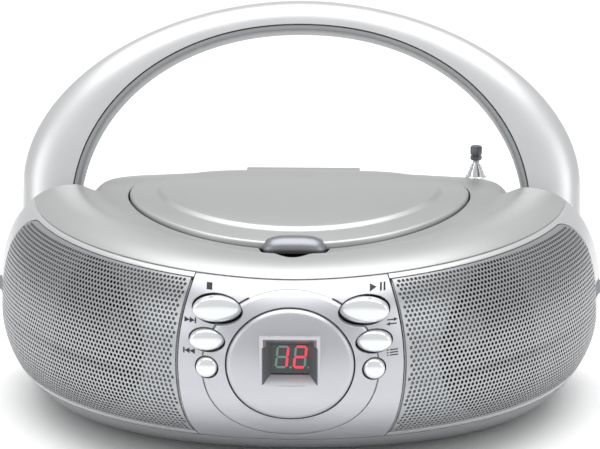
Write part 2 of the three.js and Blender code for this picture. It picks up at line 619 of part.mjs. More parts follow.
// A domed disc about the lid's centre, between two heights over the plan.
function domedDisc(radius, top, bottom, innerRadius = 0) {
  const steps = innerRadius ? [innerRadius, radius] : [radius / 3, (2 * radius) / 3, radius];
  const ringAt = (r, height) => Array.from({ length: 36 }, (_, j) => {
    const turn = (2 * Math.PI * j) / 36;
    const [x, y] = [r * Math.cos(turn), LID_CENTRE_Y + r * Math.sin(turn)];
    return new THREE.Vector3(x, y, height(x, y));
  });
  const under = steps.map((r) => ringAt(r, bottom));
  const over = [...steps].reverse().map((r) => ringAt(r, top));
  const rings = [...under, ...over];
  const centre = (height) => new THREE.Vector3(0, LID_CENTRE_Y, height(0, LID_CENTRE_Y));
  return toSolid(loft(rings, centre(bottom), centre(top)));
}

function addLid() {
  const under = (drop) => (x, y) => lidTop(x, y) - drop;
  const plate = domedDisc(LID_RADIUS, lidTop, under(LID_SKIN));
  const plateau = domedDisc(LID_PLATEAU.radius, under(-LID_PLATEAU.height), under(1));
  const skirt = domedDisc(LID_RADIUS, under(1), (x, y) => deckHeight(x, y) - WALL + 0.2);
  const hollow = rod(LID_RADIUS - 2.2, 0, BIG, 36).translate([0, LID_CENTRE_Y, 0]);
  const frontOnly = box(-BIG, BIG, -BIG, LID_CENTRE_Y + 20, 0, BIG);
  const rearY0 = LID_CENTRE_Y + LID_REAR_CUT;
  const rearEdge = box(-BIG, BIG, -BIG, rearY0, 0, BIG);
  const half = HINGE.halfLength;
  const bridge = box(-half, half, rearY0 - 5, HINGE.y, HINGE.z - 0.2, HINGE.z + 2.4);
  const onHinge = (solid) => alongX(solid).translate([0, HINGE.y, HINGE.z]);
  const barrel = onHinge(rod(HINGE.radius, -half, half));
  const bore = onHinge(rod(HINGE.pinRadius + JOINT_GAP, -BIG, BIG, 12));
  const body = join(plate, plateau, skirt.subtract(hollow).intersect(frontOnly)).intersect(rearEdge);
  addPart('cd_lid', cut(join(body, bridge, barrel), bore), GREY_PAINT);
  addPart('lid_hinge_pin', onHinge(rod(HINGE.pinRadius, -half - 5, half + 5, 12)), STEEL);
  addLidLiner(under);
  addDiscClamp();
}

// A disc that hangs from the lid on two posts and leaves a hole for the clamp.
function addLidLiner(under) {
  const { radius, drop, thickness, hole, postX, postRadius } = LID_LINER;
  const disc = domedDisc(radius, under(drop), under(drop + thickness));
  const clampHole = rod(hole, 0, BIG, 28).translate([0, LID_CENTRE_Y, 0]);
  const posts = [-postX, postX].map((x) => {
    const top = lidTop(x, LID_CENTRE_Y);
    return rod(postRadius, top - drop - 0.5, top - LID_SKIN - JOINT_GAP, 12).translate([x, LID_CENTRE_Y, 0]);
  });
  addPart('lid_liner', join(disc.subtract(clampHole), ...posts), BLACK_PLASTIC);
}

// A spool held loosely in the liner's hole; it presses the disc onto the turntable.
function addDiscClamp() {
  const { bottom, radius, neckRadius, neckBottom, neckTop, capRadius, top } = CLAMP;
  const spool = turned([[0, bottom], [radius, bottom], [radius, neckBottom], [neckRadius, neckBottom],
    [neckRadius, neckTop], [capRadius, neckTop], [capRadius, top], [0, top]]);
  addPart('disc_clamp', spool.translate([0, LID_CENTRE_Y, 0]), BLACK_PLASTIC);
}

function addDiscWell() {
  const wall = DISC_RADIUS + WELL_CLEARANCE;
  const hub = TURNTABLE_RADIUS + 1.5;
  const edge = LID_RADIUS - 0.6;
  const [floor, rim] = [WELL_FLOOR_Z, WELL_RIM_Z];
  const well = turned([[hub, floor - WELL_SHEET], [wall + WELL_SHEET, floor - WELL_SHEET],
    [wall + WELL_SHEET, rim - WELL_SHEET], [edge, rim - WELL_SHEET], [edge, rim], [wall, rim],
    [wall, floor], [hub, floor]], 32);
  const slot = box(10, SLED.x + SLED.travel + 6, -10.5, 10.5, 70, WELL_FLOOR_Z + 0.1);
  const hingeCut = box(-HINGE.halfLength - 6, HINGE.halfLength + 6, 65.5, BIG, 70, BIG);
  addPart('cd_well', cut(well, slot, hingeCut).translate([0, LID_CENTRE_Y, 0]), BLACK_PLASTIC);
  const cup = fingerNotch(CUP_WALL, false).subtract(fingerNotch(0, false));
  addPart('finger_well', cup.intersect(cabinet(WALL + JOINT_GAP)), BLACK_PLASTIC);
}

// Everything under the disc is built about the turntable's axis.
const underDisc = (solid) => solid.translate([0, LID_CENTRE_Y, 0]);

// A cylinder on the line of one of the sled's two guide rods.
const onRodLine = (radius, side, x0, x1) =>
  alongX(rod(radius, x0, x1, 12)).translate([0, side * ROD.offsetY, ROD.z]);

function addMechanism() {
  addChassis();
  addPart('guide_rod_front', underDisc(onRodLine(ROD.radius, -1, ROD.left, ROD.right)), CHROME);
  addPart('guide_rod_rear', underDisc(onRodLine(ROD.radius, 1, ROD.left, ROD.right)), CHROME);
  addSled();
  addTurntable();
  addDriveGear();
}

function addChassis() {
  const { left, right, halfDepth, windowLeft, windowRight, windowHalf, ear } = CHASSIS;
  const plate = box(left, right, -halfDepth, halfDepth, CHASSIS_Z, CHASSIS_Z + 2);
  const window = box(windowLeft, windowRight, -windowHalf, windowHalf, 0, BIG);
  const shaftHole = rod(3, 0, BIG, 16);
  const earAt = (x) => box(x, x + ear, 1 - windowHalf, windowHalf - 1, ROD.z - 3, CHASSIS_Z + 1);
  const rodHoles = [-1, 1].map((side) => onRodLine(ROD.radius + JOINT_GAP, side, 0, 80));
  const frame = join(plate.subtract(window), earAt(windowLeft - ear), earAt(windowRight + 2.4));
  addPart('cd_chassis', underDisc(cut(frame, shaftHole, ...rodHoles)), STEEL);
}

// The pickup: a block that runs on both rods, with a raised head and a round lens.
function addSled() {
  const { x, halfLength, halfWidth, bottom, top } = SLED;
  const block = box(x - halfLength, x + halfLength, -halfWidth, halfWidth, bottom, top);
  const head = box(x - 5, x + 5, -8, 8, top - 1, 80.2);
  const lens = rod(2.6, 79, 82, 16).translate([x, 0, 0]);
  const bores = [-1, 1].map((side) => onRodLine(ROD.radius + RUNNING_GAP, side, 0, 80));
  addPart('pickup_sled', underDisc(cut(join(block, head, lens), ...bores)), BLACK_PLASTIC);
}

function addTurntable() {
  const [shaft, hub] = [1.4, 7.4];
  const table = turned([[0, MOTOR.top + JOINT_GAP], [shaft, MOTOR.top + JOINT_GAP], [shaft, 82],
    [TURNTABLE_RADIUS, 82], [TURNTABLE_RADIUS, 83.8], [hub, 83.8], [hub, 87], [hub - 1, 88], [0, 88]]);
  addPart('turntable', underDisc(table), BLACK_PLASTIC);
  const { radius, bottom, top } = MOTOR;
  const motor = turned([[0, bottom], [radius - 1, bottom], [radius, bottom + 1], [radius, top], [0, top]]);
  addPart('spindle_motor', underDisc(motor), STEEL);
}

// The wheel that winds the sled along; its toothed rim stands a running gap off the sled's side.
function addDriveGear() {
  const { teeth, root, tip, x, z, thickness, bore } = GEAR;
  const shape = new THREE.Shape();
  for (let i = 0; i < teeth; i += 1) {
    for (const [share, radius] of [[0, root], [0.25, root], [0.4, tip], [0.85, tip]]) {
      const turn = (2 * Math.PI * (i + share)) / teeth;
      shape[i === 0 && share === 0 ? 'moveTo' : 'lineTo'](radius * Math.cos(turn), radius * Math.sin(turn));
    }
  }
  const gear = cut(toSolid(extruded(shape, thickness)), rod(bore, -1, 5, 12));
  const y = -SLED.halfWidth - RUNNING_GAP - tip;
  addPart('sled_gear', underDisc(gear.translate([x, y, z])), BLACK_PLASTIC);
  const motor = join(rod(7, z - 10.5, z - 0.6, 24), rod(1.6, z - 1, z + 3, 12));
  addPart('sled_motor', underDisc(motor.translate([x + tip + 2, y - 1, 0])), STEEL);
}

// ---------- power, boards and controls ----------

function addPower() {
  const { halfWidth, bottom, top, front, rear, wall } = BATTERY_BAY;
  const bay = cut(box(-halfWidth, halfWidth, front, rear, bottom, top),
    box(wall - halfWidth, halfWidth - wall, front + wall, BIG, bottom + wall, top - wall));
  addPart('battery_bay', bay, BLACK_PLASTIC);
  const door = BATTERY_DOOR;
  const doorBlock = box(-door.halfWidth, door.halfWidth, WIDEST_Y + 20, BIG, door.bottom, door.top);
  addPart('battery_door', layer(0, door.thickness).intersect(doorBlock), SILVER_PAINT);
  addInlet();
  const { left, right, front: coreFront, rear: coreRear, bottom: coreBottom, top: coreTop } = TRANSFORMER;
  const core = box(left, right, coreFront, coreRear, coreBottom, coreTop);
  const coil = box(left + 8, right - 8, coreFront + 4, coreRear - 4, coreBottom - 5.6, coreTop + 5.6);
  addPart('transformer', join(core, coil), COPPER);
  const board = MAIN_BOARD;
  addPart('main_board',
    box(-board.halfWidth, board.halfWidth, board.front, board.rear, board.z, board.z + BOARD_SHEET), BOARD);
}

// A block with an open socket and two round contacts.
function addInlet() {
  const { halfWidth, z, depth, wall } = INLET;
  const rear = rearY(halfWidth, z) - 0.4;
  const half = INLET.height / 2;
  const socketDepth = 10;
  const block = box(-halfWidth, halfWidth, rear - depth, rear, z - half, z + half);
  const slot = half - 1.1;
  const socket = box(wall - halfWidth, halfWidth - wall, rear - socketDepth, BIG, z - slot, z + slot);
  const pin = (x) => rod(1.2, 0, 9, 12).rotate([-90, 0, 0]).translate([x, rear - socketDepth - 1, z]);
  addPart('ac_inlet', join(cut(block, socket), pin(-4.3), pin(4.3)), BLACK_PLASTIC);
}

function addControls() {
  addThumbwheel('volume_wheel', 'volume_control', -1);
  addThumbwheel('tuning_wheel', 'tuning_capacitor', 1);
  for (const [name, side] of [['function_switch', -1], ['band_switch', 1]]) {
    const { z, width, height } = SLIDE_KNOB;
    const x = side * SLIDE_KNOB.x;
    const y = rearY(x, z);
    const knob = box(x - width / 2, x + width / 2, y - 8, y + 1.6, z - height / 2, z + height / 2);
    addPart(name, knob, BLACK_PLASTIC);
  }
}

// An edge wheel that stands a little proud of the side wall, over the control that it turns.
function addThumbwheel(name, holder, side) {
  const { radius, thickness, y, z, proud } = THUMBWHEEL;
  const chamfer = 0.5;
  const [low, high] = [z - thickness / 2, z + thickness / 2];
  const wheel = turned([[0, low], [radius - chamfer, low], [radius, low + chamfer],
    [radius, high - chamfer], [radius - chamfer, high], [0, high]], 24);
  addPart(name, wheel.translate([side * (sideX(y) + proud - radius), y, 0]), BASE_GREY);
  const [near, far] = [side * (sideX(y) - 26), side * (sideX(y) - 10)];
  const block = box(Math.min(near, far), Math.max(near, far), y - 8, y + 8, 38, low - RUNNING_GAP);
  addPart(holder, block, GREY_PLASTIC);
}

// Four tubes, each inside the last, with a knob on the innermost rod.
function addAerial() {
  const place = (solid) => solid.translate([AERIAL.x, AERIAL.y, 0]);
  const { bottom, tubeTop, wall, knobBottom, knobTop } = AERIAL;
  const bore = (level) => 2.75 - 0.75 * level;
  const tube = (level, z0, z1) => ring(bore(level), bore(level) + wall, z0, z1, 16);
  addPart('aerial_tube', place(tube(0, bottom, tubeTop)), CHROME);
  addPart('aerial_lower', place(tube(1, bottom + 2, tubeTop + 2)), CHROME);
  addPart('aerial_middle', place(tube(2, bottom + 4, tubeTop + 4)), CHROME);
  const [core, knob] = [0.95, 2.8];
  const tip = turned([[0, bottom + 6], [core, bottom + 6], [core, knobBottom], [knob - 0.4, knobBottom],
    [knob, knobBottom + 0.5], [knob, knobTop - 0.5], [knob - 0.4, knobTop], [0, knobTop]], 16);
  addPart('aerial_tip', place(tip), CHROME);
  const sleeve = bore(0) + wall + JOINT_GAP;
  const bushing = turned([[sleeve, 80], [4, 80], [4, 89.6], [3.6, 91], [3.1, 94.4], [2.8, 94.4],
    [2.8, tubeTop + 0.4], [sleeve, tubeTop + 0.2]]);
  addPart('aerial_bushing', place(bushing), CHROME);
}

// ---------- handle ----------

const lean = THREE.MathUtils.degToRad(HANDLE_LEAN);

// A point of the handle: x across, s up along the leaning arch, t backwards through its depth.
const handlePoint = (x, s, t) => new THREE.Vector3(
  x, PIVOT.y + s * Math.sin(lean) + t * Math.cos(lean), PIVOT.z + s * Math.cos(lean) - t * Math.sin(lean));

// Pairs of inner and outer points along the arch, from the left boss over the top to the right boss.
function handleStations() {
  const leg = [];
  for (const s of [-0.985, -0.86, -0.6, -0.3, 0].map((k) => k * BOSS_RADIUS)) leg.push([s, s]);
  for (const k of [0.35, 0.7]) leg.push([HANDLE_INNER.start * k, HANDLE_OUTER.start * k]);
  const side = (sign) => leg.map(([si, so]) => ({
    inner: [sign * HANDLE_INNER.halfWidth, si], outer: [sign * HANDLE_OUTER.halfWidth, so], s: si }));
  const onArch = ({ halfWidth, rise, power, start }, turn) => [
    halfWidth * signedPower(Math.cos(turn), 2 / power), start + rise * Math.sin(turn) ** (2 / power)];
  const steps = 18;
  const arch = Array.from({ length: steps + 1 }, (_, i) => {
    const turn = Math.PI * (1 - i / steps);
    return { inner: onArch(HANDLE_INNER, turn), outer: onArch(HANDLE_OUTER, turn), s: BOSS_RADIUS };
  });
  return [...side(-1), ...arch, ...side(1).reverse()];
}

const halfDepthAt = (s) => (s < 0 ? Math.sqrt(BOSS_RADIUS ** 2 - s ** 2)
  : mix(BOSS_RADIUS, HANDLE_HALF_DEPTH, Math.min(1, s / BOSS_RADIUS)));

// A D-shaped bar: flat on the inside of the arch, crowned on the outside.
function handleBar(section) {
  const rings = handleStations().map(({ inner, outer, s }) => {
    const [dx, ds] = [outer[0] - inner[0], outer[1] - inner[1]];
    const thickness = Math.hypot(dx, ds);
    return section(halfDepthAt(s), thickness).map(([t, out]) =>
      handlePoint(inner[0] + (dx * out) / thickness, inner[1] + (ds * out) / thickness, t));
  });
  return toSolid(loft(rings, middle(rings[0]), middle(rings[rings.length - 1])));
}

function addHandle() {
  const start = HANDLE_STRIP + JOINT_GAP;
  const crown = (half, thickness) => Array.from({ length: 7 }, (_, k) => {
    const turn = Math.PI * (0.5 - k / 6);
    return [half * Math.sin(turn), start + (thickness - start) * Math.cos(turn) ** 0.75];
  });
  const strip = (half) => {
    const side = half - 0.6;
    return [[-side, 0], [side, 0], [side, HANDLE_STRIP], [-side, HANDLE_STRIP]];
  };
  const pinReach = HANDLE_INNER.halfWidth + 11;
  const onPivot = (solid) => alongX(solid).translate([0, PIVOT.y, PIVOT.z]);
  const holes = onPivot(rod(PIVOT.radius + JOINT_GAP, -pinReach, pinReach, 24));
  addPart('handle_shell', cut(handleBar(crown), holes), SILVER_PAINT);
  addPart('handle_strip', cut(handleBar(strip), holes), GREY_PLASTIC);
  for (const [name, side] of [['left', -1], ['right', 1]]) {
    const ends = [side * PIN_INNER_X, side * (pinReach - 0.5)].sort((a, b) => a - b);
    addPart(`handle_pin_${name}`, onPivot(rod(PIVOT.radius, ...ends, 24)), STEEL);
  }
}

addTopHousing();
addFrontHousing();
addRearHousing();
addBaseHousing();
addGrilles();
addConsole();
addDial();
addButtons();
addSpeakers();
addLid();
addDiscWell();
addMechanism();
addPower();
addControls();
addAerial();
addHandle();

export default group;
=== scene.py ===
"""A portable CD radio on a plain studio floor: silver cabinet, pierced grilles, round lid, arched handle."""
import math
import bpy
import numpy as np
from bpy.props import FloatProperty, FloatVectorProperty, PointerProperty
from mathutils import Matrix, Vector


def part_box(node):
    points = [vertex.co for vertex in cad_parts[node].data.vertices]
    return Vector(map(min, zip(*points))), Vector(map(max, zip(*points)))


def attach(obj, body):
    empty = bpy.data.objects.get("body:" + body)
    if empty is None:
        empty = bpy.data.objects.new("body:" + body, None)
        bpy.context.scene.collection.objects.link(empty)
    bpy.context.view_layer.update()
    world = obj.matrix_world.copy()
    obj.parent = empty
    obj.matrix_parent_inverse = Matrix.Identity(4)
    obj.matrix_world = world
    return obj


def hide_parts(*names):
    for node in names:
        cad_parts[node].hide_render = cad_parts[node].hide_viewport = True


bl_info = {
    "name": "Portable CD Radio",
    "version": (1, 0, 0),
    "blender": (4, 5, 0),
    "location": "View3D > Sidebar > Radio",
    "description": "Builds the visible pieces of a portable CD radio on its packed frame",
    "category": "Object",
}

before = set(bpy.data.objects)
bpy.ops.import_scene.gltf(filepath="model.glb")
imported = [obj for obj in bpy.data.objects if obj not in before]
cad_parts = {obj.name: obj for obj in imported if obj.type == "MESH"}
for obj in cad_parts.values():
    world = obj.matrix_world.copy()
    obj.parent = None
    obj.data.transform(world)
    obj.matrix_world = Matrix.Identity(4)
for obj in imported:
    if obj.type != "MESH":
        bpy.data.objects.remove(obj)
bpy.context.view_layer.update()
MM = 0.001

# Cabinet, in millimetres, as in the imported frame
HALF_WIDTH, FRONT_REACH, REAR_REACH, SIDE_REAR = 140.0, 151.8, 92.2, 86.0
NECK_HALF, NECK_FRONT = 104.0, 60.0
FLOOR_Z, BELT_Z, CREST_Z, DECK_Z = 3.0, 48.0, 98.2, 98.5
WIDEST_Y = 30.2
WALL, GAP = 2.6, 0.3
# The plan's superellipse power at the belt, and what it gains down to the floor
PLAN_POWER, FLOOR_POWER = 1.78, 0.4
# The shoulder's inset from the belt to the crest, its power, and the crest's fall at the very front
SHOULDER, SHOULDER_POWER, CREST_FALL = 36.0, 2.2, 5.0
# How far the deck's edge stands in from the crest, at the sides and at the front
SIDE_BLEND, FRONT_BLEND = 12.0, 26.0
SIDE_EDGE, FRONT_EDGE = SHOULDER + SIDE_BLEND, SHOULDER + FRONT_BLEND
# How far the walls draw in from the belt down to the floor, and the powers they do it by
SIDE_TUCK, SIDE_TUCK_POWER = 23.2, 2.3
FRONT_TUCK, REAR_TUCK, TUCK_POWER = 54.0, 12.0, 2.1
NECK_POWER, NECK_TUCK, NECK_SHOULDER = 3.0, 10.0, 12.0
# Shares of its width at which the deck's inner rings stand
DECK_SHARES = (0.85, 0.7, 0.55, 0.4, 0.25, 0.1, 0.01)
# The deck's crown: its middle, and the divisors of its parabolas across and from front to back
CROWN_Y, CROWN_ACROSS, CROWN_ALONG = 9.8, 2644.0, 653.0
SEAM_Z, SEAM_SLOPE = 92.26, 0.01377
DECK_RIM_R, DECK_RIM_Z = 98.0, 86.5
STEP_Y, LEDGE_Z, REAR_SEAM_Z, BASE_SEAM_Z = 23.5, 48.0, 70.0, 18.0
LID_Y, LID_R, LID_REAR = 17.8, 78.0, 64.0
PLATEAU_R, PLATEAU_REAR, PLATEAU_RISE = 64.5, 52.0, 1.2
HINGE_Y, HINGE_Z, HINGE_HALF = 91.8, 87.0, 27.5
DIAL_Z, DIAL_WIDE, DIAL_HIGH = 57.2, 26.6, 23.6
RING_Z, RING_WIDE, RING_HIGH = 55.2, 36.8, 32.2
CONSOLE_HALF, CONSOLE_RADIUS, CONSOLE_Z, CONSOLE_TURN = 47.4, 92.0, 55.0, 0.5111
CONSOLE_BACK_Y = WIDEST_Y - 60
GRILLE_END_Y, GRILLE_CORNER, GRILLE_LOW_Z, GRILLE_TOP_GAP = 3.5, 16.0, 21.0, 2.2
SPEAKER_X, SPEAKER_Y, SPEAKER_Z, SPEAKER_TURN = 80.0, -66.0, 55.0, math.radians(36)
BORE_X, BORE_Z, BORE_WIDE, BORE_HIGH = 91.0, 55.5, 29.0, 33.5
# The display window: its middle, its mouth and its floor as (width, height), and its depth
WINDOW_Z, WINDOW_MOUTH, WINDOW_FLOOR, WINDOW_DEEP = 59.7, (23.0, 20.0), (16.0, 13.2), 5.0
DIAL_INSET, DIGIT_WIDE, DIGIT_HIGH, SEGMENT_WIDE, SEGMENT_DEEP = 0.8, 4.4, 8.9, 0.95, 0.12
NOTCH_HALF, NOTCH_REACH, NOTCH_FLOOR_Z = 15.3, 28.2, 79.0
# Each button's middle x and z, width and height
BUTTONS = {
    "stop_button": (-30.4, 78.5, 20.6, 10.8), "play_button": (30.4, 78.5, 20.6, 10.8),
    "skip_forward_button": (-34.6, 66.3, 14.6, 9.0), "mode_button": (34.6, 66.3, 14.6, 9.0),
    "skip_back_button": (-34.7, 55.0, 9.0, 8.6), "program_button": (34.7, 55.0, 9.0, 8.6),
}
PIVOT_Y, PIVOT_Z, BOSS_R, LEAN = 37.8, 63.0, 13.0, math.radians(18)
PIN_HOLE_R, PIN_HALF, HANDLE_DEEP = 4.3, 116.3, 11.5
# The handle's arches, inner and outer: half width, rise, superellipse power and the legs' height
ARCHES = ((105.3, 88.5, 2.1, 15.0), (131.4, 86.9, 1.93, 31.4))
# The battery door's half width and its bottom and top heights
DOOR_HALF, DOOR_LOW, DOOR_HIGH, DOOR_GAP = 76.0, 24.0, 56.0, 0.4
AERIAL_X, AERIAL_Y = 83.6, 80.5
FAR = 400.0
# How far back a cut from the front reaches: past the front wall, short of anything behind it
FRONT_CUT_Y = -60.0


# ---------- meshes ----------

def signed_power(value, power):
    """The size of a value raised to a power, with its sign kept."""
    return np.sign(value) * np.abs(value) ** power


def smooth(k):
    """The s-curve 3k squared minus 2k cubed between 0 and 1."""
    k = np.clip(k, 0, 1)
    return k * k * (3 - 2 * k)


def turns(count):
    """Equal steps round a full turn, in radians, without the last one."""
    return np.linspace(0, 2 * np.pi, count, endpoint=False)


def oval(a, b, half_a, half_b=None, count=48):
    """The outline of an oval: its middle plus the half sizes times cosine and sine of the turn."""
    turn = turns(count)
    half_b = half_a if half_b is None else half_b
    return np.stack([a + half_a * np.cos(turn), b + half_b * np.sin(turn)], -1)


def mesh_object(name, points, faces):
    """A mesh object from points in millimetres and faces as index rows."""
    mesh = bpy.data.meshes.new(name)
    rows = [tuple(face) for face in np.asarray(faces).tolist()]
    mesh.from_pydata((np.asarray(points, float) * MM).tolist(), [], rows)
    mesh.validate()
    obj = bpy.data.objects.new(name, mesh)
    bpy.context.scene.collection.objects.link(obj)
    return obj


def grid_faces(rows, columns, wrap):
    """Quads between neighbouring rows of a grid, closed round its columns if it wraps."""
    i, j = np.meshgrid(np.arange(rows - 1), np.arange(columns if wrap else columns - 1), indexing="ij")
    k = (j + 1) % columns
    corners = [i * columns + j, i * columns + k, (i + 1) * columns + k, (i + 1) * columns + j]
    return np.stack(corners, -1).reshape(-1, 4)


def outward(points, faces):
    """The faces, all turned over if the volume they enclose about their middle comes out negative."""
    points = points - points.mean(0)
    a, b, c = (points[faces[:, k]] for k in range(3))
    volume = np.einsum("ij,ij->i", a, np.cross(b, c)).sum()
    if faces.shape[1] == 4:
        d = points[faces[:, 3]]
        volume += np.einsum("ij,ij->i", a, np.cross(c, d)).sum()
    return faces if volume > 0 else faces[:, ::-1]


def loft(name, rings):
    """A closed body through rings of points, each end closed by one face."""
    rings = np.asarray(rings, float)
    rows, columns, _ = rings.shape
    points = rings.reshape(-1, 3)
    quads = outward(points, grid_faces(rows, columns, True))
    flip = quads[0][0] != 0 or quads[0][1] != 1
    first, last = np.arange(columns), np.arange(columns) + (rows - 1) * columns
    ends = [first if flip else first[::-1], last[::-1] if flip else last]
    mesh = bpy.data.meshes.new(name)
    faces = [tuple(q) for q in quads.tolist()] + [tuple(e.tolist()) for e in ends]
    mesh.from_pydata((points * MM).tolist(), [], faces)
    obj = bpy.data.objects.new(name, mesh)
    bpy.context.scene.collection.objects.link(obj)
    return obj


def turned(name, profile, segments=64, ripple=0.0, lobes=0, place=(0, 0, 0)):
    """A profile of (radius, height) pairs turned about the Z axis; the radius may ripple round the turn."""
    r, h = np.array(profile, float).T
    turn = turns(segments)
    wave = 1 + ripple * np.cos(lobes * turn)
    radius = np.maximum(r, 1e-4)[:, None] * wave
    rings = np.stack([radius * np.cos(turn), radius * np.sin(turn), np.repeat(h[:, None], segments, 1)], -1)
    return loft(name, rings + np.array(place))


def ring_tube(inner, outer, low, high, place):
    """A plain tube with its bore open at both ends."""
    outside = [(0, low), (outer, low), (outer, high - 0.3), (outer - 0.2, high), (0, high)]
    bore = [(0, low - 1), (inner, low - 1), (inner, high + 1), (0, high + 1)]
    return cut(turned("tube", outside, 32, place=place), turned("bore", bore, 32, place=place))


def block(name, low, high):
    """A plain box used as a cutter."""
    (x0, y0, z0), (x1, y1, z1) = low, high
    rings = [[(x0, y0, z), (x1, y0, z), (x1, y1, z), (x0, y1, z)] for z in (z0, z1)]
    return loft(name, rings)


def prism(name, outline, near, far, axis):
    """A flat outline carried straight between two stations of one axis ("x" or "y")."""
    a, b = np.array(outline, float).T
    stack = []
    for station in (near, far):
        s = np.full_like(a, station)
        stack.append(np.stack([s, a, b], -1) if axis == "x" else np.stack([a, s, b], -1))
    return loft(name, stack)


def combine(obj, tool, operation):
    """One solid joined with, cut by or limited to another."""
    modifier = obj.modifiers.new("part", "BOOLEAN")
    modifier.operation, modifier.solver, modifier.object = operation, "MANIFOLD", tool
    graph = bpy.context.evaluated_depsgraph_get()
    graph.update()
    mesh = bpy.data.meshes.new_from_object(obj.evaluated_get(graph))
    obj.modifiers.clear()
    obj.data = mesh
    bpy.data.objects.remove(tool)
    return obj


def cut(obj, *tools):
    """A solid less each of the tools in turn."""
    for tool in tools:
        combine(obj, tool, "DIFFERENCE")
    return obj


def within(obj, tool):
    """The part of a solid that lies inside a tool."""
    return combine(obj, tool, "INTERSECT")


def join(obj, *tools):
    """A solid and each of the tools made one."""
    for tool in tools:
        combine(obj, tool, "UNION")
    return obj


def dress(obj, material, body="cabinet", replaces=(), sharp=40):
    """Smooth shading, sharp past an angle, one material, a body to ride on and the nodes it stands for."""
    mesh = obj.data
    mesh.materials.clear()
    mesh.materials.append(material)
    mesh.polygons.foreach_set("material_index", np.zeros(len(mesh.polygons), np.int32))
    mesh.polygons.foreach_set("use_smooth", np.ones(len(mesh.polygons), bool))
    mesh.set_sharp_from_angle(angle=math.radians(sharp))
    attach(obj, body)
    if replaces:
        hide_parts(*replaces)
    return obj


# ---------- cabinet surface ----------

RING_TURNS = turns(200)


def plan(half, front, rear, power, turn=RING_TURNS):
    """A superellipse whose front and back reach differ, at the given turns."""
    x = half * signed_power(np.cos(turn), 2 / power)
    y = WIDEST_Y + np.where(np.sin(turn) < 0, front, rear) * signed_power(np.sin(turn), 2 / power)
    return x, y


def deck_height(x, y):
    """The shallow crown of the top: a parabola across and another from front to back."""
    return DECK_Z - x * x / CROWN_ACROSS - (y - CROWN_Y) ** 2 / CROWN_ALONG


def crest_height(inset, y):
    """The shoulder's crest, which runs lower towards the front."""
    return CREST_Z - CREST_FALL * inset / SHOULDER * (np.minimum(y - WIDEST_Y, 0) / FRONT_REACH) ** 2


def ring(x, y, z):
    """Points from their x and y and one height or as many."""
    return np.stack([x, y, np.broadcast_to(z, x.shape)], -1)


def wide_cabinet(depth):
    """The wide cabinet: insets grow by a power below the belt, and by a superellipse up to the crest."""
    rings = []
    for z in np.linspace(FLOOR_Z, BELT_Z, 15):
        u = (BELT_Z - z) / (BELT_Z - FLOOR_Z)
        low = z + depth if z == FLOOR_Z else z
        x, y = plan(HALF_WIDTH - depth - SIDE_TUCK * u ** SIDE_TUCK_POWER,
                    FRONT_REACH - depth - FRONT_TUCK * u ** TUCK_POWER,
                    SIDE_REAR - depth - REAR_TUCK * u ** TUCK_POWER, PLAN_POWER + FLOOR_POWER * u)
        rings.append(ring(x, y, low))
    for turn in np.linspace(0, np.pi / 2, 25)[1:]:
        inset = SHOULDER * (1 - np.cos(turn) ** (2 / SHOULDER_POWER))
        rise = np.sin(turn) ** (2 / SHOULDER_POWER)
        x, y = plan(HALF_WIDTH - depth - inset, FRONT_REACH - depth - inset,
                    SIDE_REAR - depth - inset, PLAN_POWER)
        rings.append(ring(x, y, BELT_Z + (crest_height(inset, y) - depth - BELT_Z) * rise))
    for k in np.linspace(0, 1, 11)[1:]:
        x, y = plan(HALF_WIDTH - depth - SHOULDER - SIDE_BLEND * k,
                    FRONT_REACH - depth - SHOULDER - FRONT_BLEND * k,
                    SIDE_REAR - depth - SHOULDER - SIDE_BLEND * k, PLAN_POWER)
        height = crest_height(SHOULDER, y) * (1 - smooth(k)) + deck_height(x, y) * smooth(k)
        rings.append(ring(x, y, height - depth))
    for share in DECK_SHARES:
        x, y = plan((HALF_WIDTH - depth - SIDE_EDGE) * share, (FRONT_REACH - depth - FRONT_EDGE) * share,
                    (SIDE_REAR - depth - SIDE_EDGE) * share, PLAN_POWER)
        rings.append(ring(x, y, deck_height(x, y) - depth))
    return loft("wide", rings)


def neck_cabinet(depth):
    """The narrower cabinet between the handle's legs, squarer in plan."""
    reach = np.array([NECK_HALF - depth, NECK_FRONT, REAR_REACH - depth])
    rings = []
    for z in np.linspace(FLOOR_Z, BELT_Z, 9):
        inset = NECK_TUCK * ((BELT_Z - z) / (BELT_Z - FLOOR_Z)) ** 2
        x, y = plan(*(reach - inset), NECK_POWER)
        rings.append(ring(x, y, z + depth if z == FLOOR_Z else z))
    for turn in np.linspace(0, np.pi / 2, 21)[1:]:
        x, y = plan(*(reach - NECK_SHOULDER * (1 - np.cos(turn) ** (2 / SHOULDER_POWER))), NECK_POWER)
        rise = np.sin(turn) ** (2 / SHOULDER_POWER)
        rings.append(ring(x, y, BELT_Z + (deck_height(x, y) - depth - BELT_Z) * rise))
    for share in DECK_SHARES:
        x, y = plan(*((reach - NECK_SHOULDER) * share), NECK_POWER)
        rings.append(ring(x, y, deck_height(x, y) - depth))
    return loft("neck", rings)


CABINETS = {}


def cabinet(depth):
    """A fresh copy of the whole cabinet with every wall moved in by a depth."""
    if depth not in CABINETS:
        recess = block("recess", (-FAR, STEP_Y - depth, LEDGE_Z - depth), (FAR, FAR, FAR))
        body = cut(wide_cabinet(depth), recess)
        neck = within(neck_cabinet(depth), block("behind", (-FAR, STEP_Y - depth - 1, 0), (FAR, FAR, FAR)))
        CABINETS[depth] = join(body, neck).data
        bpy.data.objects.remove(body)
    obj = bpy.data.objects.new("cabinet", CABINETS[depth].copy())
    bpy.context.scene.collection.objects.link(obj)
    return obj


def layer(outer, inner):
    """The shell between two depths of the cabinet."""
    return cut(cabinet(outer), cabinet(inner))


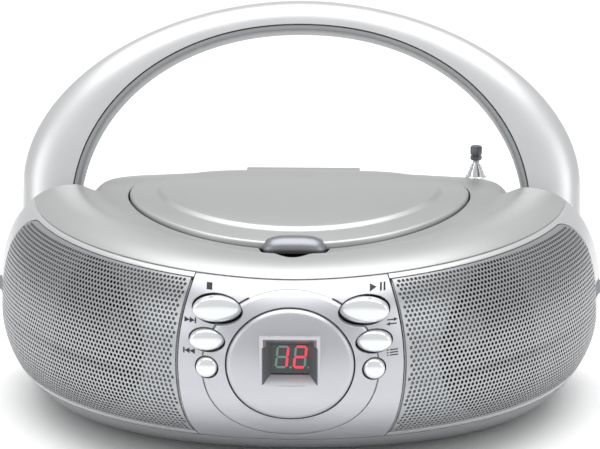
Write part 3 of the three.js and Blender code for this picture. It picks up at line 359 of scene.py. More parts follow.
def seam_height(y):
    """The parting line of the top, which falls gently towards the front."""
    return SEAM_Z + SEAM_SLOPE * (y - WIDEST_Y)


def deck_rim(grow):
    """The round of the deck under the lid, which belongs to the top down to its own floor."""
    low, radius = DECK_RIM_Z - grow, DECK_RIM_R + grow
    profile = [(0, low), (radius, low), (radius, FAR), (0, FAR)]
    return turned("rim", profile, 128, place=(0, LID_Y, 0))


def below_seam(gap):
    """All that lies between the base and the top's parting line, ahead of the step, less the deck's round."""
    outline = [(-FAR, BASE_SEAM_Z + gap), (STEP_Y, BASE_SEAM_Z + gap), (STEP_Y, seam_height(STEP_Y) - gap),
               (-FAR, seam_height(-FAR) - gap)]
    return cut(prism("below", outline, -FAR, FAR, "x"), deck_rim(gap))


def above_seam():
    """All that lies above the parting line, with the deck's round and the top of the rear."""
    outline = [(-FAR, seam_height(-FAR)), (STEP_Y + 2, seam_height(STEP_Y + 2)), (STEP_Y + 2, FAR), (-FAR, FAR)]
    return join(prism("above", outline, -FAR, FAR, "x"), deck_rim(0),
                block("rear", (-FAR, STEP_Y + GAP, REAR_SEAM_Z), (FAR, FAR, FAR)))


def console_region(margin):
    """The console's outline: two bowed sides on arcs, straight above and below."""
    half = CONSOLE_HALF + margin
    turn = np.linspace(-CONSOLE_TURN, CONSOLE_TURN, 33)
    x = half - CONSOLE_RADIUS + CONSOLE_RADIUS * np.cos(turn)
    z = CONSOLE_Z + CONSOLE_RADIUS * np.sin(turn)
    outline = np.concatenate([np.stack([x, z], -1), np.stack([-x, z], -1)[::-1]])
    return prism("console", outline, -FAR, CONSOLE_BACK_Y, "y")


def grille_region(margin, console_gap):
    """The grille's outline seen from the side, with round rear corners, less the console."""
    end, corner, bottom = GRILLE_END_Y + margin, GRILLE_CORNER, GRILLE_LOW_Z - margin
    turn = np.linspace(0, np.pi / 2, 13)
    top = seam_height(end) - GRILLE_TOP_GAP + margin
    low = np.stack([end - corner + corner * np.sin(turn), bottom + corner - corner * np.cos(turn)], -1)
    high = np.stack([end - corner + corner * np.cos(turn), top - corner + corner * np.sin(turn)], -1)
    far_top = seam_height(-FAR) - GRILLE_TOP_GAP + margin
    outline = np.concatenate([[(-FAR, bottom)], low, high, [(-FAR, far_top)]])
    return cut(prism("grille", outline, -FAR, FAR, "x"), console_region(console_gap))


def disc_prism(name, x, z, half_width, half_height, count=96):
    """An oval cutter that comes in from the front."""
    return prism(name, oval(x, z, half_width, half_height, count), -FAR, FRONT_CUT_Y, "y")


def speaker_bore(side):
    """The opening in the front wall before a loudspeaker."""
    return disc_prism("bore", side * BORE_X, BORE_Z, BORE_WIDE, BORE_HIGH)


def inset_at(z, y, front):
    """How far the wall stands in at a height: a power law below the belt, a superellipse above."""
    u = np.clip((BELT_Z - z) / (BELT_Z - FLOOR_Z), 0, 1)
    rise = np.clip((z - BELT_Z) / (CREST_Z - CREST_FALL / 2 - BELT_Z), 0, 0.999)
    for _ in range(5):
        inset = SHOULDER * (1 - (1 - rise ** SHOULDER_POWER) ** (1 / SHOULDER_POWER))
        rise = np.clip((z - BELT_Z) / (crest_height(inset, y) - BELT_Z), 0, 0.999)
    tuck = FRONT_TUCK * u ** TUCK_POWER if front else SIDE_TUCK * u ** SIDE_TUCK_POWER
    return inset + tuck, u


def wall_point(turn, z):
    """The outer wall at a turn of the plan (radians, negative is the front) and a height."""
    y = np.full_like(z, -60.0)
    for _ in range(3):
        side, u = inset_at(z, y, False)
        front, _ = inset_at(z, y, True)
        power = PLAN_POWER + FLOOR_POWER * u
        x = (HALF_WIDTH - side) * signed_power(np.cos(turn), 2 / power)
        y = WIDEST_Y + (FRONT_REACH - front) * signed_power(np.sin(turn), 2 / power)
    return np.stack([x, y, z], -1)


def front_y(x, z):
    """Depth of the front wall at a point of the console."""
    x, z = np.asarray(x, float), np.asarray(z, float)
    side, u = inset_at(z, np.full_like(z, -100.0), False)
    front, _ = inset_at(z, np.full_like(z, -100.0), True)
    power = PLAN_POWER + FLOOR_POWER * u
    return WIDEST_Y - (FRONT_REACH - front) * (1 - np.abs(x / (HALF_WIDTH - side)) ** power) ** (1 / power)


# ---------- materials ----------

def srgb(code):
    """An sRGB hex colour as linear red, green, blue and one."""
    value = np.array([int(code[i:i + 2], 16) / 255 for i in (1, 3, 5)])
    linear = np.where(value <= 0.04045, value / 12.92, ((value + 0.055) / 1.055) ** 2.4)
    return (*linear.tolist(), 1.0)


def hex_code(colour):
    """The hex code of an sRGB colour given as shares of one."""
    return "#" + "".join(f"{round(share * 255):02X}" for share in colour)


def add_node(tree, kind, settings=(), inputs=(), links=()):
    """Adds one node, sets its properties and sockets, and links (socket, from node, from socket) into it."""
    node = tree.nodes.new(kind)
    for key, value in dict(settings).items():
        setattr(node, key, value)
    for key, value in dict(inputs).items():
        node.inputs[key].default_value = value
    for socket, source, output in links:
        tree.links.new(source.outputs[output], node.inputs[socket])
    return node


def surface(name, code, metallic, roughness, grain_mm=0.3, bump=0.04, mottle=0.04, edge_mm=0.0, **sockets):
    """A painted, moulded or plated finish: fine grain in its bump, a slow change in its roughness."""
    material = bpy.data.materials.new(name)
    material.use_nodes = True
    tree = material.node_tree
    tree.nodes.clear()
    colour = srgb(code)
    place = add_node(tree, "ShaderNodeTexCoord")
    fine = add_node(tree, "ShaderNodeTexNoise", inputs={"Scale": 1 / (grain_mm * MM), "Detail": 2.0},
                    links=[("Vector", place, "Object")])
    slow = add_node(tree, "ShaderNodeTexNoise", inputs={"Scale": 1 / (18 * MM), "Detail": 3.0},
                    links=[("Vector", place, "Object")])
    shade = add_node(tree, "ShaderNodeMix", {"data_type": "RGBA", "blend_type": "MIX"},
                     links=[("Factor", fine, "Fac")])
    shade.inputs[6].default_value = tuple(c * (1 - mottle) for c in colour[:3]) + (1,)
    shade.inputs[7].default_value = tuple(min(1, c * (1 + mottle)) for c in colour[:3]) + (1,)
    gloss = add_node(tree, "ShaderNodeMapRange",
                     inputs={"To Min": roughness * 0.88, "To Max": roughness * 1.12},
                     links=[("Value", slow, "Fac")])
    relief = add_node(tree, "ShaderNodeBump", inputs={"Strength": bump, "Distance": 0.00005},
                      links=[("Height", fine, "Fac")])
    if edge_mm:
        edge = add_node(tree, "ShaderNodeBevel", {"samples": 4}, {"Radius": edge_mm * MM})
        tree.links.new(edge.outputs["Normal"], relief.inputs["Normal"])
    shader = add_node(tree, "ShaderNodeBsdfPrincipled", inputs={"Metallic": metallic, **sockets},
                      links=[("Base Color", shade, 2), ("Roughness", gloss, "Result"),
                             ("Normal", relief, "Normal")])
    add_node(tree, "ShaderNodeOutputMaterial", links=[("Surface", shader, "BSDF")])
    return material


MATERIALS = {}


def make_materials():
    look = bpy.context.scene.radio_look
    silver, deck = hex_code(look.silver), hex_code(look.deck)
    table = {
        # Silver flake paint sprayed on ABS: broad soft highlights with a fine sparkle in them
        "silver_paint": (silver, 0.85, 0.36, dict(grain_mm=0.25, bump=0.05, mottle=0.05, edge_mm=0.5)),
        # The same silver paint in a darker grey, a touch matter: painted shade on the deck and lid, an even,
        # duller tone
        "shaded_silver_paint": (deck, 0.8, 0.4, dict(grain_mm=0.25, bump=0.05, mottle=0.05, edge_mm=0.6)),
        # Silver paint with a faint lilac cast on the button panel
        "console_paint": ("#B7B8BD", 0.8, 0.33, dict(grain_mm=0.25, bump=0.04, mottle=0.04, edge_mm=0.4)),
        # Stamped and lacquered aluminium sheet: sharp-edged holes, satin webs
        "grille_sheet": ("#A6A8AA", 0.9, 0.34, dict(grain_mm=0.2, bump=0.05, mottle=0.05)),
        # Grey moulded frame in the display recess: satin and much darker than the paint
        "window_grey": ("#505255", 0.0, 0.45, dict(grain_mm=0.3, bump=0.03, mottle=0.03)),
        # Dust cap in near-white matt, painted reflection standing in for the bright aluminised cap: bright
        # against the black cone
        "cap_painted_reflection": ("#F4F5F6", 0.1, 0.5, dict(grain_mm=0.5, bump=0.02, mottle=0.02)),
        # Grey open-weave cloth behind the sheet: the holes read mid grey, and black only over the loudspeaker
        "grille_cloth": ("#B4B6B8", 0.0, 0.8, dict(grain_mm=0.6, bump=0.1, mottle=0.1)),
        # Moulded grey ABS with a spark-eroded texture: flat and slightly grainy. Its dark grey is partly the
        # base's own colour and partly painted shade of the downward-facing base
        "base_grey_and_shade": ("#858789", 0.1, 0.5, dict(grain_mm=0.4, bump=0.12, mottle=0.06, edge_mm=0.6)),
        # The handle's inner strip, the same ABS moulded smoother, with a slight sheen: its darker grey is
        # painted shade, standing in for the underside's shade
        "strip_painted_shade": ("#8E9092", 0.15, 0.45, dict(grain_mm=0.4, bump=0.1, mottle=0.05, edge_mm=0.4)),
        # Vacuum-metallised gloss caps: small bright highlights
        "button_gloss": ("#D9DBDD", 0.6, 0.17,
                         dict(grain_mm=0.5, bump=0.01, mottle=0.02, **{"Coat Weight": 0.4})),
        # Bright nickel-chrome plate on turned brass
        "chrome_plate": ("#D4D5D7", 1.0, 0.09, dict(grain_mm=0.5, bump=0.01, mottle=0.02)),
        # The aerial's dark knurled cap, satin plated
        "dark_plate": ("#6E6F72", 0.9, 0.3, dict(grain_mm=0.3, bump=0.03, mottle=0.04)),
        # Satin nickel plate on the thumb lip: a soft bright line along its crest
        "lip_plate": ("#8C8E93", 0.9, 0.33, dict(grain_mm=0.4, bump=0.01, mottle=0.03)),
        # Unpainted black ABS inside the well and openings: soft dull sheen. On the strip under the thumb lip it
        # is painted shade
        "black_abs_and_shade": ("#121314", 0.0, 0.42, dict(grain_mm=0.4, bump=0.08, mottle=0.1, edge_mm=0.4)),
        # Cold-rolled steel pressings, lightly oiled
        "pressed_steel": ("#9B9DA1", 1.0, 0.32, dict(grain_mm=0.3, bump=0.04, mottle=0.06)),
        # Black sintered magnet and varnished laminations: dark and rough
        "dark_iron": ("#1A1A1C", 0.4, 0.55, dict(grain_mm=0.6, bump=0.2, mottle=0.15)),
        # Pressed paper pulp: fibrous, no gloss
        "pulp_cone": ("#0B0B0C", 0.0, 0.95, dict(grain_mm=0.7, bump=0.4, mottle=0.2)),
        # Green solder-masked laminate
        "board_mask": ("#1F5A33", 0.0, 0.4, dict(grain_mm=1.0, bump=0.05, mottle=0.1)),
        # Smoked display window: nearly black green-grey under a gloss face
        "display_face": ("#2B3735", 0.0, 0.12, dict(grain_mm=1.0, bump=0.005, mottle=0.02)),
        # Moulded light guides of the digits, unlit: pale grey-green bars on the dark face
        "segment_off": ("#75827F", 0.0, 0.35, dict(grain_mm=1.0, bump=0.01, mottle=0.02)),
        # Moulded nitrile feet: matt, dusty black
        "foot_rubber": ("#1B1B1B", 0.0, 0.8, dict(grain_mm=0.5, bump=0.2, mottle=0.1)),
        # Screen-printed ink
        "print_ink": ("#17181A", 0.0, 0.5, dict(grain_mm=0.5, bump=0.02, mottle=0.05)),
        # Moulded acetal in its natural colour: waxy off-white gears and controls
        "gear_acetal": ("#C9C7BE", 0.0, 0.4, dict(grain_mm=0.6, bump=0.05, mottle=0.04)),
    }
    for name, (code, metallic, roughness, extra) in table.items():
        MATERIALS[name] = surface(name, code, metallic, roughness, **extra)
    # Red light-emitting segments under the window
    MATERIALS["segment_lit"] = surface("segment_lit", "#E8304A", 0.0, 0.4, mottle=0.02,
                                       **{"Emission Color": srgb("#E0203C"), "Emission Strength": 0.9})


# ---------- pieces ----------

def finger_notch(grow, rear):
    """The half-moon hollow in front of the lid: a parabola in plan, its depth falling with the square of x."""
    half, depth = NOTCH_HALF + grow, NOTCH_REACH + grow
    x = np.linspace(-half, half, 72)
    y = LID_Y - LID_R - depth * (1 - (x / half) ** 2)
    x, y = np.concatenate([x, [half, -half]]), np.concatenate([y, [rear, rear]])
    return loft("notch", [ring(x, y, z) for z in (NOTCH_FLOOR_Z - grow, FAR)])


def make_top():
    """The deck and shoulder: the cabinet's wall above the seam, open for the lid, its hinge and the aerial."""
    low, gap, ear = 70, 0.6, 4.4
    profile = [(0, low), (LID_R + gap, low), (LID_R + gap, FAR), (0, FAR)]
    hole = turned("hole", profile, 160, place=(0, LID_Y, 0))
    hole = within(hole, block("cut", (-FAR, -FAR, 0), (FAR, LID_Y + LID_REAR + 2.5, FAR)))
    half = HINGE_HALF + 1
    shell = within(layer(0, WALL), above_seam())
    cut(shell, hole, block("hinge", (-half, LID_Y, low), (half, HINGE_Y + 5.2, FAR)),
        finger_notch(0, LID_Y - LID_R + 2),
        turned("aerial", [(0, 0), (4.4, 0), (4.4, FAR), (0, FAR)], 32, place=(AERIAL_X, AERIAL_Y, 0)))
    for x in (half, -half - ear):
        join(shell, block("ear", (x, HINGE_Y - 4, HINGE_Z - 5), (x + ear, HINGE_Y + 4, HINGE_Z + 0.5)))
    shell.name = "top_shell"
    # The top shell takes the darker grey copy of the silver paint, painted shade.
    dress(shell, MATERIALS["shaded_silver_paint"], replaces=["top_housing"])
    make_cup()


def speaker_place(rings, side):
    """Turns a body built along +Z to a speaker's firing direction and moves it there."""
    angle = SPEAKER_TURN * side
    x, y, z = np.moveaxis(rings, -1, 0)
    x, y, z = x, -z, y
    c, s = math.cos(angle), math.sin(angle)
    return np.stack([c * x - s * y + side * SPEAKER_X, s * x + c * y + SPEAKER_Y, z + SPEAKER_Z], -1)


def speaker_body(name, profile, side):
    """A profile of (radius, height) pairs turned about a speaker's own axis and put in its place."""
    r, h = np.array(profile, float).T
    turn = turns(64)
    r = np.maximum(r, 1e-4)[:, None]
    rings = np.stack([r * np.cos(turn), r * np.sin(turn), np.repeat(h[:, None], len(turn), 1)], -1)
    return loft(name, speaker_place(rings, side))


def make_front():
    """The front wall round the console, with the speaker and wheel openings and a pocket for the grilles."""
    region = below_seam(GAP)
    shell = cut(within(layer(0, WALL), region), console_region(0))
    for side in (-1, 1):
        near, far = sorted((side * 120, side * FAR))
        cut(shell, speaker_bore(side), block("wheel", (near, 3.4, 51.4), (far, 20.6, 57.4)))
    pocket = within(layer(-1, 1.3), grille_region(GAP, -0.6))
    cut(shell, pocket, finger_notch(1.8, LID_Y - LID_R + 0.2))
    shell.name = "front_shell"
    dress(shell, MATERIALS["silver_paint"], replaces=["front_housing"])


def make_rear():
    """The rear wall with its openings, and the battery cover with five grip grooves, from one surface."""
    region = block("region", (-FAR, STEP_Y + GAP, BASE_SEAM_Z + GAP), (FAR, FAR, REAR_SEAM_Z - GAP))
    shell = within(layer(0, WALL), region)
    door_y, wide = WIDEST_Y + 20, DOOR_HALF + DOOR_GAP
    cut(shell, block("door", (-wide, door_y, DOOR_LOW - DOOR_GAP), (wide, FAR, DOOR_HIGH + DOOR_GAP)),
        block("inlet", (-10.3, 90, 58.4), (10.3, FAR, 67.6)))
    cut(shell, prism("pivot", oval(PIVOT_Y, PIVOT_Z, PIN_HOLE_R), -FAR, FAR, "x"))
    for x in (-38, 38):
        cut(shell, block("slot", (x - 7.5, 90, 60.6), (x + 7.5, FAR, 65.4)))
    shell.name = "rear_shell"
    dress(shell, MATERIALS["silver_paint"], replaces=["rear_housing"])
    door = within(layer(0, 2), block("door", (-DOOR_HALF, door_y, DOOR_LOW), (DOOR_HALF, FAR, DOOR_HIGH)))
    for k in range(5):
        slit = block("rib", (-9, WIDEST_Y + 60, 47 + 1.4 * k), (9, FAR, 47.7 + 1.4 * k))
        cut(door, within(slit, layer(-1, 0.5)))
    door.name = "battery_cover"
    dress(door, MATERIALS["silver_paint"], "door", ["battery_door"])


def make_base():
    """The cabinet's wall and floor below the base seam."""
    shell = within(layer(0, WALL), block("region", (-FAR, -FAR, 0), (FAR, FAR, BASE_SEAM_Z)))
    shell.name = "base_shell"
    # The base's dark grey is partly painted shade of its downward-facing walls.
    dress(shell, MATERIALS["base_grey_and_shade"], replaces=["base_housing"])


def grille_holes(side, pitch, radius):
    """Hexagonal pins on a staggered lattice over the wall, each along the wall's own normal."""
    spread = np.linspace(-np.pi / 2, -0.02, 1200)
    belt = wall_point(spread, np.full_like(spread, 55.0))
    along = np.concatenate([[0], np.cumsum(np.linalg.norm(np.diff(belt[:, :2], axis=0), axis=1))])
    heights = np.linspace(20, 92, 400)
    line = wall_point(np.full_like(heights, -0.9), heights)
    up = np.concatenate([[0], np.cumsum(np.linalg.norm(np.diff(line, axis=0), axis=1))])
    rows = np.arange(0, up[-1], pitch * math.sqrt(3) / 2)
    columns = np.arange(0, along[-1], pitch)
    h, a = np.meshgrid(rows, columns, indexing="ij")
    a = a + (np.arange(len(rows)) % 2)[:, None] * pitch / 2
    turn, z = np.interp(a.ravel(), along, spread), np.interp(h.ravel(), up, heights)
    centre = wall_point(turn, z)
    x, y = centre[:, 0], centre[:, 1]
    edge = CONSOLE_HALF - CONSOLE_RADIUS + np.sqrt(CONSOLE_RADIUS ** 2 - (z - CONSOLE_Z) ** 2) + 0.9
    rim, end, corner = radius + 0.35, GRILLE_END_Y, GRILLE_CORNER
    low, high = GRILLE_LOW_Z + rim, seam_height(y) - 2.0 - radius
    past = np.maximum(y - (end - corner), 0)
    over = np.maximum(z - (high + rim - corner), 0) + np.maximum((low - rim + corner) - z, 0)
    keep = (x > edge + rim) & (z > low) & (z < high) & (y < end - rim)
    keep &= np.hypot(past, over) < corner - rim
    turn, z, centre = turn[keep], z[keep], centre[keep]
    du = wall_point(turn + 1e-3, z) - centre
    dv = wall_point(turn, z + 0.05) - centre
    normal = np.cross(du, dv)
    normal /= np.linalg.norm(normal, axis=1)[:, None]
    normal *= np.sign(normal[:, :1])
    first = du / np.linalg.norm(du, axis=1)[:, None]
    second = np.cross(normal, first)
    spin = np.arange(6) * np.pi / 3
    rim_points = first[:, None] * np.cos(spin)[:, None] + second[:, None] * np.sin(spin)[:, None]
    rim_points = radius * rim_points
    points = np.stack([centre[:, None] + rim_points + normal[:, None] * 2,
                       centre[:, None] + rim_points - normal[:, None] * 2.2], 1).reshape(-1, 3)
    points[:, 0] *= side
    k = np.arange(6)
    sides = np.stack([k, (k + 1) % 6, (k + 1) % 6 + 6, k + 6], -1)
    caps = np.array([[0, 3, 2, 1], [0, 5, 4, 3], [6, 7, 8, 9], [6, 9, 10, 11]])
    one = np.concatenate([sides[:, ::-1], caps[:, ::-1]])
    faces = (one[None] + 12 * np.arange(len(centre))[:, None, None]).reshape(-1, 4)
    return mesh_object("holes", points, outward(points, faces))


def side_half(side):
    """The half of space on one side of the middle plane."""
    return block("half", (min(0, side * FAR), -FAR, 0), (max(0, side * FAR), FAR, FAR))


def make_grilles():
    """The two perforated sheets, 1 mm thick, each with a cloth of its own close behind it."""
    look = bpy.context.scene.radio_look
    for name, side in (("left", -1), ("right", 1)):
        sheet = within(within(layer(0, 1), grille_region(0, 0.9)), side_half(side))
        combine(sheet, grille_holes(side, look.hole_pitch, look.hole_radius), "DIFFERENCE")
        sheet.name = f"{name}_perforated_sheet"
        dress(sheet, MATERIALS["grille_sheet"], replaces=[f"{name}_grille"], sharp=35)
        cloth = within(within(layer(1.03, 1.25), grille_region(0, 0.9)), side_half(side))
        cut(cloth, speaker_bore(side))
        cloth.name = f"{name}_grille_cloth"
        dress(cloth, MATERIALS["grille_cloth"])


def collar():
    """A raised collar round the dial: nearly 1 mm proud at the top, fading into the panel at its sides."""
    turn = turns(240)
    lift = 0.95 * smooth((np.sin(turn) - 0.15) / 0.5)
    # Share of the oval, depth below the crest, and whether the crest's lift counts there
    profile = [(0.7, 1.6, 0), (0.7, 0, 1), (0.955, 0, 1), (0.978, 0.12, 1), (0.993, 0.45, 1), (1.0, 0.95, 1),
               (1.0, 1.6, 0)]
    rows = []
    for size, down, share in profile:
        x, z = size * RING_WIDE * np.cos(turn), RING_Z + size * RING_HIGH * np.sin(turn)
        rows.append(np.stack([x, front_y(x, z) - lift * share + down + 0.02, z], -1))
    rows = np.array(rows)
    count = len(turn)
    last, j = (len(rows) - 1) * count, np.arange(count)
    closing = np.stack([last + j, last + (j + 1) % count, (j + 1) % count, j], -1)
    points = rows.reshape(-1, 3)
    faces = np.concatenate([grid_faces(len(rows), count, True), closing])
    a, b, c, d = (points[faces[:, k]] for k in range(4))
    if np.einsum("ij,ij->i", a, np.cross(b, c) + np.cross(c, d)).sum() < 0:
        faces = faces[:, ::-1]
    return mesh_object("collar", points, faces)


def groove(first, last, half):
    """A narrow cut that follows the collar's oval between two turns in degrees."""
    turn = np.radians(np.linspace(first, last, 80))
    outside, inside = (np.stack([(RING_WIDE + k) * np.cos(turn), RING_Z + (RING_HIGH + k) * np.sin(turn)], -1)
                       for k in (half, -half))
    outline = np.concatenate([outside, inside[::-1]])
    return within(prism("groove", outline, -FAR, FRONT_CUT_Y, "y"), layer(-2, 0.9))


def make_console():
    """The button panel with its collar, three grooves, the dial's opening and one hole for each button."""
    panel = within(within(layer(0, 2.1), below_seam(GAP)), console_region(-0.4))
    join(panel, collar())
    cut(panel, groove(-178, -2, 0.28), groove(8, 62, 0.25), groove(118, 172, 0.25))
    cut(panel, disc_prism("dial", 0, DIAL_Z, DIAL_WIDE + 0.4, DIAL_HIGH + 0.4))
    for x, z, width, height in BUTTONS.values():
        cut(panel, disc_prism("hole", x, z, width / 2 + 0.5, height / 2 + 0.5, 64))
    panel.name = "console_face"
    dress(panel, MATERIALS["console_paint"], replaces=["console_panel"])


def funnel(grow, front, back):
    """The window's recess, a rectangle that narrows in a straight line from its mouth to its floor."""
    rings = []
    for (width, height), y in ((WINDOW_MOUTH, front), (WINDOW_FLOOR, back)):
        w, h = width / 2 + grow, height / 2 + grow
        rings.append([(-w, y, WINDOW_Z - h), (w, y, WINDOW_Z - h), (w, y, WINDOW_Z + h), (-w, y, WINDOW_Z + h)])
    return loft("funnel", rings)


def make_dial():
    """A round plate with a rolled edge: its face drops away over the last millimetres by a quarter ellipse."""
    turn = turns(160)
    roll = 0.085
    rolled = 1 - roll + roll * np.sin(np.linspace(0.15, np.pi / 2, 9))
    size = np.concatenate([[0.0005], np.linspace(0.08, 1 - roll, 14), rolled])
    drop = 1.6 * (1 - np.sqrt(1 - np.clip((size - 1 + roll) / roll, 0, 1) ** 2))
    size, drop = np.append(size, [1, 0.0005]), np.append(drop, [3.4, 3.4])
    x = DIAL_WIDE * size[:, None] * np.cos(turn)
    z = DIAL_Z + DIAL_HIGH * size[:, None] * np.sin(turn)
    y = front_y(x, z) - DIAL_INSET + drop[:, None]
    plate = loft("dial_plate", np.stack([x, y, z], -1))
    front = float(front_y(0.0, WINDOW_Z)) - DIAL_INSET
    back, wide, high = front + WINDOW_DEEP, WINDOW_MOUTH[0] / 2, WINDOW_MOUTH[1] / 2
    join(plate, funnel(1.2, front + 0.6, back))
    cut(plate, funnel(0, front, front + 5.1),
        block("mouth", (-wide, front - 5, WINDOW_Z - high), (wide, front + 0.05, WINDOW_Z + high)),
        block("back", (-9.2, back, WINDOW_Z - 7.8), (9.2, front + 14, WINDOW_Z + 7.8)))
    dress(plate, MATERIALS["console_paint"], replaces=["display_dial"])
    liner = cut(funnel(-0.02, front + 0.3, back), funnel(-0.2, front - 0.1, front + 5.1))
    outline = [(-11.7, WINDOW_Z - 10.2), (11.7, WINDOW_Z - 10.2), (7.9, WINDOW_Z - 6.5), (-7.9, WINDOW_Z - 6.5)]
    brow_y = float(front_y(0.0, WINDOW_Z + high)) - 0.5
    cut(liner, prism("sill", outline, front - 1, front + 6, "y"),
        block("brow", (-20, front - 3, WINDOW_Z + 6), (20, brow_y, 90)))
    liner.name = "window_liner"
    dress(liner, MATERIALS["window_grey"], sharp=20)


def segment(name, x, z, long, across, upright, y, lit):
    """A six-sided bar of a digit, leaning by a tenth of its height."""
    a, b = long / 2, across / 2
    shape = np.array([(-a, 0), (-a + b, b), (a - b, b), (a, 0), (a - b, -b), (-a + b, -b)])
    if upright:
        shape = shape[:, ::-1]
    outline = shape + (x, z)
    outline[:, 0] += 0.1 * (outline[:, 1] - WINDOW_Z)
    piece = prism(name, outline, y, y - SEGMENT_DEEP, "y")
    dress(piece, MATERIALS["segment_lit" if lit else "segment_off"])


def make_display():
    """Two digits of seven bars each, reading 12, and a point after each one."""
    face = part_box("display_module")[0].y / MM
    lit = {0: "bc", 1: "abged"}
    middle = WINDOW_Z + 0.8
    for digit, centre in enumerate((-3.4, 4.1)):
        w, h = DIGIT_WIDE, DIGIT_HIGH
        # Each bar's place from the digit's middle, and whether it stands upright
        bars = {"a": (0, h / 2, 0), "g": (0, 0, 0), "d": (0, -h / 2, 0),
                "f": (-w / 2, h / 4, 1), "b": (w / 2, h / 4, 1),
                "e": (-w / 2, -h / 4, 1), "c": (w / 2, -h / 4, 1)}
        for key, (dx, dz, upright) in bars.items():
            long = (h / 2 if upright else w) - 0.25
            segment(f"segment_{key}_{digit}", centre + dx, middle + dz, long, SEGMENT_WIDE, upright, face,
                    key in lit[digit])
        dot = oval(centre + 3.55, middle - 4.5, 0.5, count=16)
        point = prism(f"point_{digit}", dot, face, face - SEGMENT_DEEP, "y")
        dress(point, MATERIALS["segment_off"])


def make_buttons():
    """Oval caps: a dome whose height falls as a power of the cosine, with a straight skirt and a stem."""
    for name, (x, z, width, height) in BUTTONS.items():
        y = float(front_y(x, z))
        r = height / 2
        rise = 2.2
        profile = [(0.001 * r, rise)]
        for angle in np.linspace(0, 1, 12)[1:-1] * math.pi / 2:
            profile.append((r * math.sin(angle), rise * math.cos(angle) ** 0.8))
        profile += [(r, 0), (r, -3.4), (2, -3.4), (2, -8), (0, -8)]
        rr, h = np.array(profile).T
        turn = turns(64)
        rr = np.maximum(rr, 1e-3)[:, None]
        across, depth = x + rr * np.cos(turn) * width / height, np.repeat(y - h[:, None], len(turn), 1)
        rings = np.stack([across, depth, z + rr * np.sin(turn)], -1)
        piece = loft(f"{name}_cap", rings)
        dress(piece, MATERIALS["button_gloss"], name.removesuffix("_button"), [name], sharp=50)


def printed(name, shapes):
    """Flat printed marks laid on the console, each a convex outline."""
    points, faces, start = [], [], 0
    for outline in shapes:
        outline = np.array(outline, float)
        x, z = outline.T
        y = front_y(x, z)
        top, bottom = np.stack([x, y - 0.08, z], -1), np.stack([x, y + 0.2, z], -1)
        n = len(outline)
        points += [top, bottom]
        faces.append([start + k for k in range(n)])
        faces.append([start + n + k for k in reversed(range(n))])
        faces += [[start + k, start + n + k, start + n + (k + 1) % n, start + (k + 1) % n] for k in range(n)]
        start += 2 * n
    mesh = bpy.data.meshes.new(name)
    mesh.from_pydata((np.concatenate(points) * MM).tolist(), [], faces)
    obj = bpy.data.objects.new(name, mesh)
    bpy.context.scene.collection.objects.link(obj)
    dress(obj, MATERIALS["print_ink"])


def bar(x, z, w, h):
    """A rectangle about a middle."""
    return [(x + a * w / 2, z + b * h / 2) for a, b in ((-1, -1), (1, -1), (1, 1), (-1, 1))]


def arrow(x, z, w, h, way=1):
    """A triangle that points right, or left where way is -1."""
    return [(x - way * w / 2, z - h / 2), (x + way * w / 2, z), (x - way * w / 2, z + h / 2)][::way]


def make_marks():
    """A plain symbol beside each button, from its middle outwards."""
    x, z = -39.0, 86.6
    printed("mark_stop", [bar(x + 5, z, 2.4, 2.4)])
    x = 36.5
    printed("mark_play", [arrow(x - 2.4, z, 2.8, 2.8), bar(x + 0.8, z, 0.8, 2.8), bar(x + 2.3, z, 0.8, 2.8)])
    x, z = -41.6, 73.4
    printed("mark_skip_forward", [arrow(x - 1.6, z, 2.2, 2.2), arrow(x + 0.6, z, 2.2, 2.2),
                                  bar(x + 2.0, z, 0.6, 2.2)])
    x, z = -42.5, 61.0
    printed("mark_skip_back", [arrow(x + 1.6, z, 2.2, 2.2, -1), arrow(x - 0.6, z, 2.2, 2.2, -1),
                               bar(x - 2.0, z, 0.6, 2.2)])
    x, z = 42.0, 73.4
    printed("mark_mode", [arrow(x + 1.6, z + 0.7, 1.6, 1.4), bar(x - 0.6, z + 0.7, 2.8, 0.45),
                          arrow(x - 1.6, z - 0.9, 1.6, 1.4, -1), bar(x + 0.6, z - 0.9, 2.8, 0.45)])
    x, z = 42.5, 61.0
    rows = (1.1, 0, -1.1)
    printed("mark_program", [bar(x + 0.4, z + dz, 3.4, 0.45) for dz in rows]
            + [bar(x - 2.2, z + dz, 0.6, 0.5) for dz in rows])


def lid_top(x, y):
    """The lid's outer level: the deck's, and a wedge that rises towards the front."""
    return deck_height(x, y) + 2.5 * (LID_Y + LID_R - y) / (2 * LID_R)


